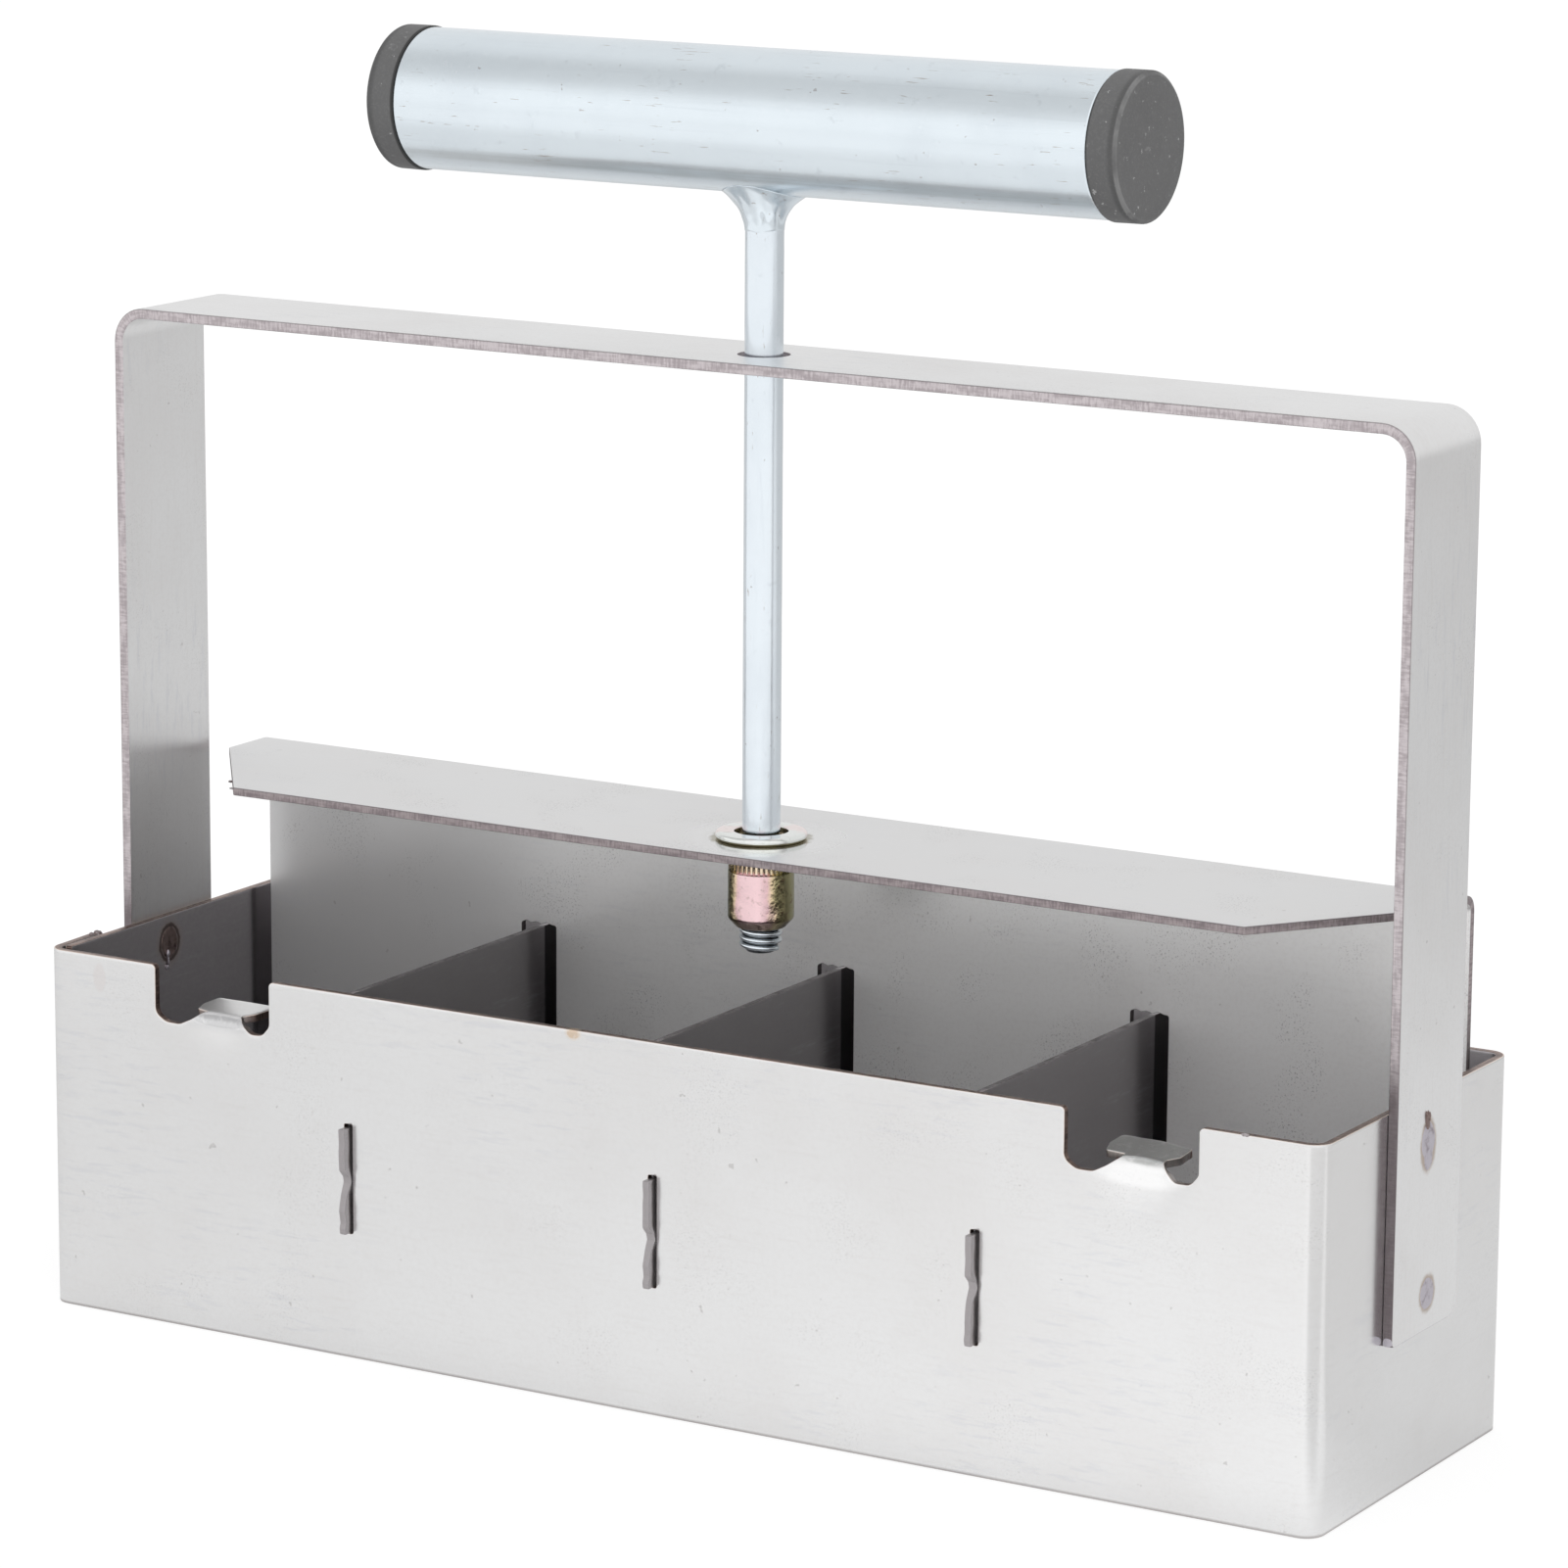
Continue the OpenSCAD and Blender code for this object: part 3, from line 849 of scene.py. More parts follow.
@dataclass(frozen=True)
class RolledSteel:
    """Bare rolled sheet: satin, with faint rolling lines and stains, cut edges and tinted marks.

    The inner face is the one with a negative depth. Its painted shade, shaded_left_tone, reaches up
    to the first x of shaded_left_span, and its painted lightening, brightened_inner_tone, starts
    from the second. Cut edges get painted shade below low_z. Struck metal starts at struck_y either
    side, and a painted shadow makes the sheet black behind painted_shadow_y up to there.
    """

    name: str
    tone: Colour = (0.80, 0.80, 0.802)
    # Painted lightening of the inner face, and painted shade at its left end
    brightened_inner_tone: Colour | None = None
    shaded_left_tone: Colour | None = None
    shaded_left_span: tuple[float, float] = (-101.2 * MM, -100.6 * MM)
    stain: Colour = (0.70, 0.68, 0.67)
    cut_light: Colour = (0.33, 0.235, 0.20)
    cut_dark: Colour = (0.15, 0.105, 0.095)
    # The arris colour is a painted highlight when pale and a painted dark line when dark
    arris: Colour = (0.94, 0.81, 0.72)
    arris_share: float = 0.8
    half_thickness: float = 0.6 * MM
    rough: float = 0.20
    metal: float = 1.0
    inner_metal: float = 1.0
    stained: float = 0.2
    lines: Triple = (90, 2600, 2600)
    relief: float = 0.0025 * MM
    # Cut edges get a painted shade below low_z, in shaded_low_tone
    low_z: float = 0.0
    shaded_low_tone: Colour = (0.14, 0.115, 0.122)
    struck_y: float = 0.0
    # Where the painted shadow behind the ejector's panel starts
    painted_shadow_y: float = 0.0
    polish_r: float = 0.0
    polish_z: float = 0.0
    specks: float = 0.15
    contact_shadow_share: float = 0.0
    marks: Sequence[Mark] = ()

    def material(self) -> Material:
        """Builds the material."""
        paint = Paint.named(self.name)
        place = paint.stored(PLACE, "Vector")
        depth = paint.split(place)[2]
        object_place = paint.object_place()
        x, y, z = paint.split(object_place)
        cloud = paint.noise(place, 34, 3)
        rolling = paint.stretched(place, self.lines, 3, 0.6)
        grain = paint.noise(place, 5200, 2, 0.7)
        outer = paint.step(depth, -0.1 * MM, 0.1 * MM)
        # Painted light and shade on the inner face: lighter than outside, darker at the left end
        inner, left = self.brightened_inner_tone or self.tone, self.shaded_left_tone or self.tone
        inner = paint.mix(paint.step(x, *self.shaded_left_span), left, inner)
        paint.base = paint.mix(outer, inner, self.tone)
        paint.lay(paint.step(cloud, 0.35, 0.75) * 0.3, self.stain)
        streak = paint.stretched(place, tuple(s * 0.6 + 60 for s in self.lines), 4, 0.65)
        paint.lay(paint.step(streak, 0.50, 0.76) * self.stained, self.stain)
        patch = paint.flecks(place, 95, 0.54, 0.74, 5, 0.62)
        paint.lay(patch * (self.stained * 0.6), self.stain)
        fine = paint.flecks(place, 1500, 0.42, 0.68, 3, 0.6)
        paint.lay(fine * 0.14, self.stain)
        scuff = paint.stretched(place, tuple(s * 0.35 + 120 for s in self.lines), 4, 0.7)
        scuff = paint.step(scuff, 0.52, 0.66) * paint.flecks(place, 24, 0.48, 0.60, 2)
        paint.lay(scuff * (self.stained * 1.3), (0.62, 0.63, 0.68))
        speck = paint.flecks(place, 700, 0.735, 0.78, 2)
        paint.lay(speck * 0.35, (0.35, 0.32, 0.31))
        dust = paint.flecks(place, 75, 0.50, 0.66) * paint.flecks(place, 3600, 0.57, 0.68, 2)
        paint.lay(dust * self.specks, (0.20, 0.19, 0.19))
        # Painted contact shadow: a dark line along the bottom edge
        if self.contact_shadow_share:
            foot = paint.step(z, 0.55 * MM, 0.10 * MM)
            paint.lay(foot * self.contact_shadow_share, (0.22, 0.19, 0.18))
        # Painted shadow: the divider turns black behind the ejector's panel
        if self.painted_shadow_y:
            painted_shadow = paint.step(y, self.painted_shadow_y, self.painted_shadow_y + 0.5 * MM)
            painted_shadow = painted_shadow * paint.step(y, self.struck_y, self.struck_y - 0.4 * MM)
            paint.lay(painted_shadow * 0.94, (0.02, 0.018, 0.018))
        rough = (self.rough - 0.05) + 0.05 * cloud + 0.04 * rolling + 0.03 * grain
        metal = outer * (self.metal - self.inner_metal) + self.inner_metal
        cut = paint.step(paint.stored(CUT, "Fac"), 0.25, 0.9)
        shear = paint.stretched(place, (2600, 2600, 500), 3, 0.65)
        paint.lay(cut, self._cut_colour(paint, place, shear, depth, z))
        rough = rough + cut * 0.16
        if self.struck_y:
            near, far = self.struck_y - 0.1 * MM, self.struck_y + 0.2 * MM
            struck = paint.step(y * y, near**2, far**2)
            paint.lay(struck * 0.9, (0.38, 0.358, 0.365))
            rough = rough - struck * 0.08
            metal = metal - struck * 0.15
        if self.polish_r:
            away = paint.distance(object_place, (0, 0, self.polish_z), (1, 1, 1))
            worn = paint.step(away + cloud * (3 * MM), self.polish_r * 1.6, self.polish_r)
            rough = rough * (1 - 0.72 * worn)
            metal = metal + worn * 0.35
        for mark in self.marks:
            mark.lay(paint, object_place)
        normal = paint.bump(rolling * 0.6 + grain * 0.4, self.relief)
        normal = paint.bump(shear * cut, 0.05 * MM, normal)
        return paint.surface(metal, rough, normal)

    def _cut_colour(
        self, paint: Paint, place: Wire, shear: Wire, depth: Wire, height: Wire
    ) -> Wire:
        """The colour of a sheared edge, which is mottled, with a painted line along its outer
        arris: a painted highlight where the arris colour is pale, a painted dark line where it is
        dark.
        """
        broad = paint.stretched(place, (260, 260, 1400), 3, 0.6)
        mottle = paint.step(shear * 0.55 + broad * 0.45, 0.40, 0.60)
        colour = paint.mix(mottle, self.cut_dark, self.cut_light)
        # The arris colour along the outer arris: a painted highlight on the mould, a painted dark
        # line on the strap and ejector
        rim = paint.step(depth, self.half_thickness - 0.24 * MM, self.half_thickness - 0.10 * MM)
        rim = rim * paint.step(height, 0.3 * MM, 1.0 * MM)
        colour = paint.mix(rim * self.arris_share, colour, self.arris)
        # Painted shade on cut edges below low_z, and a painted contact shadow at the inner arris
        # just below it
        if self.low_z:
            low = paint.step(height, self.low_z + 9 * MM, self.low_z, 0.0, 0.78)
            colour = paint.mix(low, colour, self.shaded_low_tone)
            gap = paint.step(depth, 0.10 * MM - self.half_thickness, -self.half_thickness)
            gap = gap * paint.step(height, self.low_z + 1 * MM, self.low_z)
            colour = paint.mix(gap, colour, (0.01, 0.01, 0.01))
        return colour


@dataclass(frozen=True)
class BrightZinc:
    """Bluish zinc plating with fine speckle, drawn lines and scratches along one axis, with painted
    shade in a thread's grooves and a painted dark reflection band low on a tube.
    """

    name: str
    drawn_scale: Triple
    tone: Colour = (0.77, 0.838, 0.885)
    shade: Colour = (0.64, 0.70, 0.755)
    rough: float = 0.22
    mottle: float = 0.35
    relief: float = 0.05 * MM
    groove_radius: float = 0.0
    dark_reflection_z: float = 0.0

    def material(self) -> Material:
        """Builds the material."""
        paint = Paint.named(self.name)
        place = paint.object_place()
        cloud = paint.noise(place, 60, 4, 0.6)
        drawn = paint.stretched(place, self.drawn_scale, 4, 0.65)
        speckle = paint.noise(place, 1700, 3, 0.7)
        shaded = paint.step(cloud, 0.35, 0.75) * self.mottle
        paint.base = paint.mix(shaded, self.tone, self.shade)
        paint.lay(paint.step(drawn, 0.52, 0.8) * 0.35, self.shade)
        paint.lay(paint.step(speckle, 0.58, 0.75) * 0.35, (0.88, 0.92, 0.96))
        dull = paint.flecks(place, 420, 0.60, 0.72, 5, 0.7)
        paint.lay(dull * 0.25, (0.50, 0.55, 0.60))
        scratch = paint.scaled(place, tuple(s * 1.5 + 130 for s in self.drawn_scale))
        scratch = paint.flecks(scratch, 1.6, 0.655, 0.70, 3, 0.6)
        scratch = scratch * paint.flecks(place, 110, 0.48, 0.58)
        paint.lay(scratch * 0.75, (0.36, 0.30, 0.25))
        pit = paint.flecks(place, 900, 0.73, 0.77, 2)
        paint.lay(pit * 0.6, (0.40, 0.38, 0.37))
        # Painted shade in the thread's grooves
        if self.groove_radius:
            radius, (far, near) = self.groove_radius, mm(0.12, 0.05)
            groove_shade = paint.distance(place, (0, 0, 0), (1, 1, 0))
            groove_shade = paint.step(groove_shade, radius + far, radius - near)
            paint.lay(groove_shade * 0.9, (0.05, 0.055, 0.06))
        # Painted reflection: a dark band low on the tube, where it mirrors the parts below
        if self.dark_reflection_z:
            height = paint.split(place)[2]
            above, below = mm(1.6, 0.2), mm(0.9, 0.3)
            dark_reflection = paint.step(height, *(self.dark_reflection_z + far for far in above))
            dark_reflection = dark_reflection * paint.step(height, *(self.dark_reflection_z - far for far in below))
            dark_reflection = dark_reflection * paint.step(drawn * 0.6 + cloud * 0.4, 0.36, 0.56, 0.1, 0.36)
            paint.lay(dark_reflection, (0.40, 0.40, 0.38))
        rough = (self.rough - 0.07) + 0.08 * speckle + 0.06 * cloud
        normal = paint.bump(speckle * 0.6 + drawn * 0.8, 0.010 * MM)
        normal = paint.bump(cloud, self.relief, normal)
        return paint.surface(1.0, rough, normal)


@dataclass(frozen=True)
class YellowZinc:
    """Yellow zinc plating, which shifts between straw, pink and green in patches."""

    name: str = "yellow_zinc"
    flange_z: float = 76.8 * MM
    low_z: float = 64.1 * MM

    def material(self) -> Material:
        """Builds the material."""
        paint = Paint.named(self.name)
        place = paint.object_place()
        height = paint.split(place)[2]
        drift = paint.stretched(place, (170, 170, 110), 3, 0.6)
        turned = paint.distance(place, mm(1.1, -4.6, 0), (1, 1, 0)) * (0.115 / MM)
        drift = drift * 0.55 + turned
        stops = (
            (0.40, (0.86, 0.62, 0.645)),
            (0.50, (0.82, 0.56, 0.58)),
            (0.57, (0.80, 0.63, 0.42)),
            (0.66, (0.50, 0.45, 0.24)),
            (0.82, (0.22, 0.20, 0.11)),
            (1.00, (0.40, 0.38, 0.21)),
        )
        paint.base = paint.ramp(drift, stops)
        knurl = paint.step(height, self.flange_z - 4.5 * MM, self.flange_z - 4.1 * MM)
        paint.lay(knurl * 0.75, (0.82, 0.70, 0.46))
        head = paint.step(height, self.flange_z - 0.2 * MM, self.flange_z + 0.3 * MM)
        blush = paint.flecks(place, 190, 0.48, 0.62, 2) * 0.75
        blush = paint.mix(blush, (0.80, 0.83, 0.83), (0.86, 0.71, 0.715))
        paint.lay(head * 0.92, blush)
        # Painted shade under the head's rim, where it meets the flange
        under = paint.step(height, self.flange_z + 0.36 * MM, self.flange_z + 0.12 * MM) * head
        paint.lay(under * 0.85, (0.24, 0.20, 0.10))
        dents = paint.noise(place, 850, 4, 0.65)
        foot = paint.step(height, self.low_z + 1.7 * MM, self.low_z + 1.0 * MM)
        paint.lay(foot * 0.65, (0.24, 0.20, 0.13))
        crumpled = paint.step(drift, 0.50, 0.62, 0.35, 1.0) * (1 - head * 0.8)
        paint.lay(paint.step(dents, 0.54, 0.66) * crumpled, (0.20, 0.15, 0.09))
        rough = 0.07 + 0.14 * dents
        normal = paint.bump(dents * crumpled, 0.16 * MM)
        normal = paint.bump(drift, 0.10 * MM, normal)
        return paint.surface(1.0, rough, normal)


@dataclass(frozen=True)
class WeldMetal:
    """Fused metal with a burnt skin."""

    name: str
    tone: Colour = (0.46, 0.43, 0.44)
    burnt: Colour = (0.17, 0.12, 0.12)
    burnt_share: float = 0.5

    def material(self) -> Material:
        """Builds the material."""
        paint = Paint.named(self.name)
        place = paint.object_place()
        crust = paint.noise(place, 700, 5, 0.65)
        grain = paint.noise(place, 3500, 3, 0.6)
        low = 0.75 - 0.4 * self.burnt_share
        burnt = paint.step(crust, low - 0.12, low + 0.12)
        paint.base = paint.mix(burnt, self.tone, self.burnt)
        rough = 0.34 + 0.3 * crust
        normal = paint.bump(crust * 0.7 + grain * 0.3, 0.06 * MM)
        return paint.surface(1.0, rough, normal)


@dataclass(frozen=True)
class Rubber:
    """Matte dark rubber with fine pits, light dust specks and scuffs, with painted shade and a
    painted highlight round the head's edge and a painted shadow where it meets the tube.
    """

    name: str = "cap_rubber"
    tone: Colour = (0.088, 0.088, 0.089)
    head_x: float = 55.0 * MM
    head_h: float = 4.5 * MM
    axis_z: float = 177.4 * MM

    def material(self) -> Material:
        """Builds the material."""
        paint = Paint.named(self.name)
        place = paint.object_place()
        cloud = paint.noise(place, 130, 4, 0.6)
        grain = paint.noise(place, 2600, 3, 0.7)
        paint.base = paint.mix(cloud, self.tone, tuple(1.4 * c for c in self.tone))
        paint.lay(paint.step(grain, 0.45, 0.8) * 0.4, (0.21, 0.21, 0.21))
        dust = paint.flecks(place, 1100, 0.665, 0.72, 3, 0.6)
        paint.lay(dust * 0.6, (0.48, 0.48, 0.48))
        scuff = paint.step(paint.stretched(place, (700, 220, 900), 3, 0.5), 0.68, 0.75)
        paint.lay(scuff * 0.3, (0.30, 0.30, 0.30))
        across = abs(paint.split(place)[0]) - self.head_x
        radius = paint.distance(place, (0, 0, self.axis_z), (0, 1, 1))
        side = paint.step(radius, 9.7 * MM, 9.95 * MM)
        # Painted shade in a band on the side, next to the head's edge
        edge_shade = paint.step(across, self.head_h - 1.5 * MM, self.head_h - 0.8 * MM) * side
        paint.lay(edge_shade * paint.step(cloud, 0.3, 0.6, 0.2, 0.5), (0.035, 0.035, 0.036))
        # Painted highlight along the head's rim
        rim = paint.step(across, self.head_h - 0.5 * MM, self.head_h - 0.3 * MM)
        rim = paint.step(radius, 9.45 * MM, 9.75 * MM) * rim
        paint.lay(rim * paint.step(cloud, 0.42, 0.62, 0.1, 0.7), (0.24, 0.24, 0.24))
        # Painted shadow where the cap meets the tube
        seat_shadow = paint.step(across, 0.40 * MM, 0.15 * MM)
        paint.lay(seat_shadow * 0.85, (0.012, 0.012, 0.012))
        rough = 0.5 + 0.2 * grain
        normal = paint.bump(grain, 0.03 * MM)
        return paint.surface(0.0, rough, normal)


# Geometry node trees


class Recipe(Graph):
    """A geometry node tree with named inputs, which ends in plain geometry with a material."""

    def __init__(self, name: str, **kinds: str) -> None:
        """Makes the tree, with an input of that kind of socket for each label."""
        super().__init__(bpy.data.node_groups.new(name, "GeometryNodeTree"))
        kinds["Material"] = "Material"
        self.keys = {label: self._socket(label, "INPUT", kind) for label, kind in kinds.items()}
        self._socket("Geometry", "OUTPUT", "Geometry")
        self.inlet = self.node("NodeGroupInput")

    def _socket(self, label: str, side: str, kind: str) -> str:
        """Adds a socket to the tree's interface and gives its key."""
        sockets = self.tree.interface
        return sockets.new_socket(label, in_out=side, socket_type=f"NodeSocket{kind}").identifier

    def value(self, label: str) -> Wire:
        """One named input of the tree."""
        return Wire(self, self.inlet.outputs[label])

    def lifted(self, shape: Wire, label: str) -> Wire:
        """The shape, raised by the input of that name."""
        lift = self.wire("ShaderNodeCombineXYZ", {"Z": self.value(label)})
        return self.wire("GeometryNodeTransform", {"Geometry": shape, "Translation": lift})

    def close(self, shape: Wire) -> None:
        """Ends the tree in real geometry with its material."""
        real = self.wire("GeometryNodeRealizeInstances", {0: shape})
        smooth = self.wire("GeometryNodeSetShadeSmooth", {"Geometry": real, "Shade Smooth": True})
        inputs = {"Geometry": smooth, "Material": self.value("Material")}
        dressed = self.wire("GeometryNodeSetMaterial", inputs)
        self.node("NodeGroupOutput", {0: dressed})

    def made(self, name: str, values: dict[str, object]) -> Object:
        """Runs the tree on those inputs and gives a plain mesh that has no modifier.

        Args:
            name: The object's name.
            values: A value for each input's label.

        Returns:
            The object.
        """
        carrier = linked(name + "_carrier", bpy.data.meshes.new(name + "_carrier"))
        modifier = carrier.modifiers.new("recipe", "NODES")
        modifier.node_group = self.tree
        for label, value in values.items():
            modifier[self.keys[label]] = value
        bpy.context.view_layer.update()
        graph = bpy.context.evaluated_depsgraph_get()
        mesh = bpy.data.meshes.new_from_object(carrier.evaluated_get(graph))
        mesh.name = name
        bpy.data.objects.remove(carrier)
        return linked(name, mesh)


def row_recipe() -> Recipe:
    """A tree that sets copies of one object in a straight row."""
    recipe = Recipe("row_of_copies", Copied="Object", Count="Int", Start="Vector", Spacing="Vector")
    inputs = {
        "Count": recipe.value("Count"),
        "Start Location": recipe.value("Start"),
        "Offset": recipe.value("Spacing"),
    }
    line = recipe.wire("GeometryNodeMeshLine", inputs, mode="OFFSET")
    inputs = {"Object": recipe.value("Copied")}
    copied = recipe.wire("GeometryNodeObjectInfo", inputs, output="Geometry")
    inputs = {"Points": line, "Instance": copied}
    recipe.close(recipe.wire("GeometryNodeInstanceOnPoints", inputs))
    return recipe


def knurl_recipe() -> Recipe:
    """A tree that sets teeth round a cylinder."""
    recipe = Recipe("knurled_band", Teeth="Int", Radius="Float", Middle="Float", Tooth="Vector")
    teeth = recipe.value("Teeth")
    inputs = {"Vertices": teeth, "Radius": recipe.value("Radius")}
    ring = recipe.lifted(recipe.wire("GeometryNodeMeshCircle", inputs), "Middle")
    tooth = recipe.wire("GeometryNodeMeshCube", {"Size": recipe.value("Tooth")})
    angle = recipe.wire("GeometryNodeInputIndex") * (2 * math.pi) / teeth
    turn = recipe.wire("ShaderNodeCombineXYZ", {"Z": angle})
    inputs = {"Points": ring, "Instance": tooth, "Rotation": turn}
    recipe.close(recipe.wire("GeometryNodeInstanceOnPoints", inputs))
    return recipe


def helix_recipe() -> Recipe:
    """A tree that sweeps a round ridge along a helix, as a rolled thread's crest."""
    labels = ("Turns", "Radius", "Height", "Ridge", "Low")
    recipe = Recipe("helical_ridge", **dict.fromkeys(labels, "Float"))
    inputs = {
        "Resolution": 40,
        "Rotations": recipe.value("Turns"),
        "Start Radius": recipe.value("Radius"),
        "End Radius": recipe.value("Radius"),
        "Height": recipe.value("Height"),
    }
    spiral = recipe.wire("GeometryNodeCurveSpiral", inputs)
    inputs = {"Resolution": 10, "Radius": recipe.value("Ridge")}
    ridge = recipe.wire("GeometryNodeCurvePrimitiveCircle", inputs)
    inputs = {"Curve": spiral, "Profile Curve": ridge, "Fill Caps": True}
    recipe.close(recipe.lifted(recipe.wire("GeometryNodeCurveToMesh", inputs), "Low"))
    return recipe


# Dressing


def dress(piece: Object, body: Body, slot: str, *nodes: str) -> None:
    """Rides a piece on its body and hides the CAD nodes that it stands for.

    Args:
        piece: The piece.
        body: Its body.
        slot: Not used.
        nodes: The CAD nodes.
    """
    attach(piece, body.value)
    if nodes:
        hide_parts(*nodes)
    LOG.info("%s: %d faces on %s", piece.name, len(piece.data.polygons), body.value)


def coat(piece: Object, material: Material) -> Object:
    """Gives a piece its one material."""
    piece.data.materials.clear()
    piece.data.materials.append(material)
    return piece


@dataclass(frozen=True)
class Stop:
    """A notch in the front wall and the stop tab that is bent inwards in it.

    The tab stands beside the notch's middle by shift. It has a narrow neck, and its plate widens
    to tip_halves at its left and right ends and climbs there by the tilts, in degrees. The wall
    below it is drawn in by pull.
    """

    x: float
    shift: float
    neck_half: float
    tip_halves: tuple[float, float]
    tilts: tuple[float, float]
    bend_r: float
    pull: float


@dataclass
class Mould:
    """The folded sleeve with its stop tabs, the seam's tacks and the three staked dividers."""

    sheet: float = 1.2 * MM
    corner_r: float = 2.8 * MM
    flap_end_y: float = -17.0 * MM
    flap_flare: float = 0.3 * MM
    stop_bend_z: float = 45.95 * MM
    stops: tuple[Stop, ...] = (
        Stop(*mm(-74.35, 1.2, 3.1), mm(5.6, 5.6), (7.0, 7.0), *mm(0.75, 0.35)),
        Stop(*mm(74.35, 0.8, 3.1), mm(6.6, 4.5), (13.0, 7.0), *mm(0.95, 1.6)),
    )
    tab_z: float = 18.5 * MM
    tab_h: float = 15.5 * MM
    slot_w: float = 1.4 * MM
    divider_t: float = 1.0 * MM
    wave: float = 0.05 * MM

    def __post_init__(self) -> None:
        """Reads the main sizes from the frame."""
        low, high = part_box("mould_sleeve")
        self.end_x, self.half_w, self.height = high.x, high.y, high.z
        self.flap_x = low.x
        self.divider_x = [middle_x(node) for node in DIVIDERS]
        bend_y = self.half_w - self.corner_r
        end, wall = 2 * bend_y, 2 * (self.end_x - self.corner_r)
        lapped = wall + (-self.end_x - self.flap_x)
        straights = end, wall, end, lapped, self.flap_end_y + bend_y
        start = (-self.end_x + self.sheet / 2, -bend_y)
        self.path = FoldPath.square(start, QUARTER, self.corner_r - self.sheet / 2, *straights)

    def front(self, x: float) -> float:
        """The distance along the blank of a place on the front wall."""
        return self.path.length(6) + self.end_x - self.corner_r - x

    def rear(self, x: float) -> float:
        """The distance along the blank of a place on the rear wall."""
        return self.path.length(2) + self.end_x - self.corner_r + x

    def _notch(self, stop: Stop) -> list[Corner]:
        """The corners of one notch and its stop tab on the blank, from left to right."""
        neck = self.stop_bend_z + QUARTER * stop.bend_r
        low, high = stop.shift - stop.neck_half, stop.shift + stop.neck_half
        left, right = stop.shift - stop.tip_halves[0], stop.shift + stop.tip_halves[1]
        steps = [
            (-10.0 * MM, self.height, 0.7 * MM),
            mm(-10.0, 46.3, 1.5),
            mm(-8.2, 45.2, 2.0),
            mm(-5.8, 45.15, 1.6),
            (low - 0.1 * MM, 46.95 * MM, 0.35 * MM),
            (low, neck + 0.2 * MM, 0.12 * MM),
            (left + 0.5 * MM, neck + 0.45 * MM, 0.45 * MM),
            (left, neck + 2.6 * MM, 0.6 * MM),
            (left + 0.7 * MM, self.height - 0.8 * MM, 0.7 * MM),
            (right, self.height - 0.8 * MM, 0.45 * MM),
            (high + 1.3 * MM, neck + 1.7 * MM, 0.8 * MM),
            (high, neck + 0.2 * MM, 0.2 * MM),
            (high, 47.0 * MM, 0.3 * MM),
            (high + 2.3 * MM, 45.2 * MM, 1.8 * MM),
            mm(8.7, 45.35, 1.5),
            mm(10.0, 46.8, 1.3),
            (10.0 * MM, self.height, 0.7 * MM),
        ]
        return [(self.front(stop.x + dx), z, r) for dx, z, r in steps]

    def _slot(self, along: float) -> Array:
        """The outline of a tab's slot, whose tab lies at its left side."""
        low, high = self.tab_z - 0.1 * MM, self.tab_z + self.tab_h + 0.5 * MM
        near, far = along - self.slot_w / 2, along + self.slot_w / 2
        corners = [(near, low), (far, low), (far, high), (near, high)]
        return round_corners([(s, z, 0.25 * MM) for s, z in corners])

    def fold(self, flat: Array) -> Array:
        """Folds the sleeve's blank and bends its stop tabs inwards."""
        along, height, depth = flat.T
        soft = self.wave * ripple(flat[:, :2], 38 * MM, 3.0)
        flap = along - self.path.length(8)
        soft = soft + self.flap_flare * ease(flap, 0, self.path.stretches[8].length)
        placed = np.column_stack([self.path.lifted(along, depth + soft), height])
        on_front = (along > self.path.length(6)) & (along < self.path.length(7))
        for stop in self.stops:
            self._bend_stop(placed, flat, on_front, stop)
        return placed

    def _bend_stop(self, placed: Array, flat: Array, on_front: Array, stop: Stop) -> None:
        """Bends one stop tab inwards, and pulls in the wall below it.

        Args:
            placed: The folded points, which are changed.
            flat: The same points on the blank.
            on_front: Which of them are on the front wall.
            stop: The stop.
        """
        height, depth, bend_z = flat[:, 1], flat[:, 2], self.stop_bend_z
        beside = placed[:, 0] - stop.x - stop.shift
        aside, near = np.abs(beside), np.abs(placed[:, 0] - stop.x) < 9.5 * MM
        falloff = 1 - ease(aside, stop.neck_half - 0.2 * MM, stop.neck_half + 2.6 * MM)
        plate = ease(height, bend_z + 1.0 * MM, bend_z + 1.6 * MM)
        bent = on_front & near & (height > bend_z)
        share = np.where(bent, np.maximum(falloff, plate), 0)
        rise = np.maximum(height - bend_z, 0)
        across = np.clip(0.5 + beside / (2 * stop.tip_halves[1]), 0, 1)
        tilt = np.radians(stop.tilts[0] + (stop.tilts[1] - stop.tilts[0]) * across)
        last = QUARTER - tilt
        angle = np.minimum(rise / stop.bend_r, last)
        level = np.maximum(rise - last * stop.bend_r, 0)
        outer = stop.bend_r + self.sheet / 2
        y = outer - self.half_w - (stop.bend_r + depth) * np.cos(angle) + level * np.sin(last)
        z = bend_z + (stop.bend_r + depth) * np.sin(angle) + level * np.cos(last)
        below = np.maximum(bend_z - height, 0)
        fall = np.exp(-((below / (3.5 * MM)) ** 1.25) - (aside / (5.0 * MM)) ** 2)
        fall = fall * (1 - ease(aside, 7.0 * MM, 10.5 * MM)) * (1 - ease(below, 9 * MM, 15 * MM))
        on_plate = np.exp(-((np.minimum(aside, 3 * MM) / (5.0 * MM)) ** 2))
        fall = np.where((plate > 0) & near, on_plate, fall)
        edge = ease(np.abs(placed[:, 0] - stop.x), 9.0 * MM, 9.6 * MM)
        fall = np.where(height > bend_z, fall * (1 - edge), fall)
        placed[:, 1] += share * (y - placed[:, 1]) + np.where(on_front, stop.pull * fall, 0)
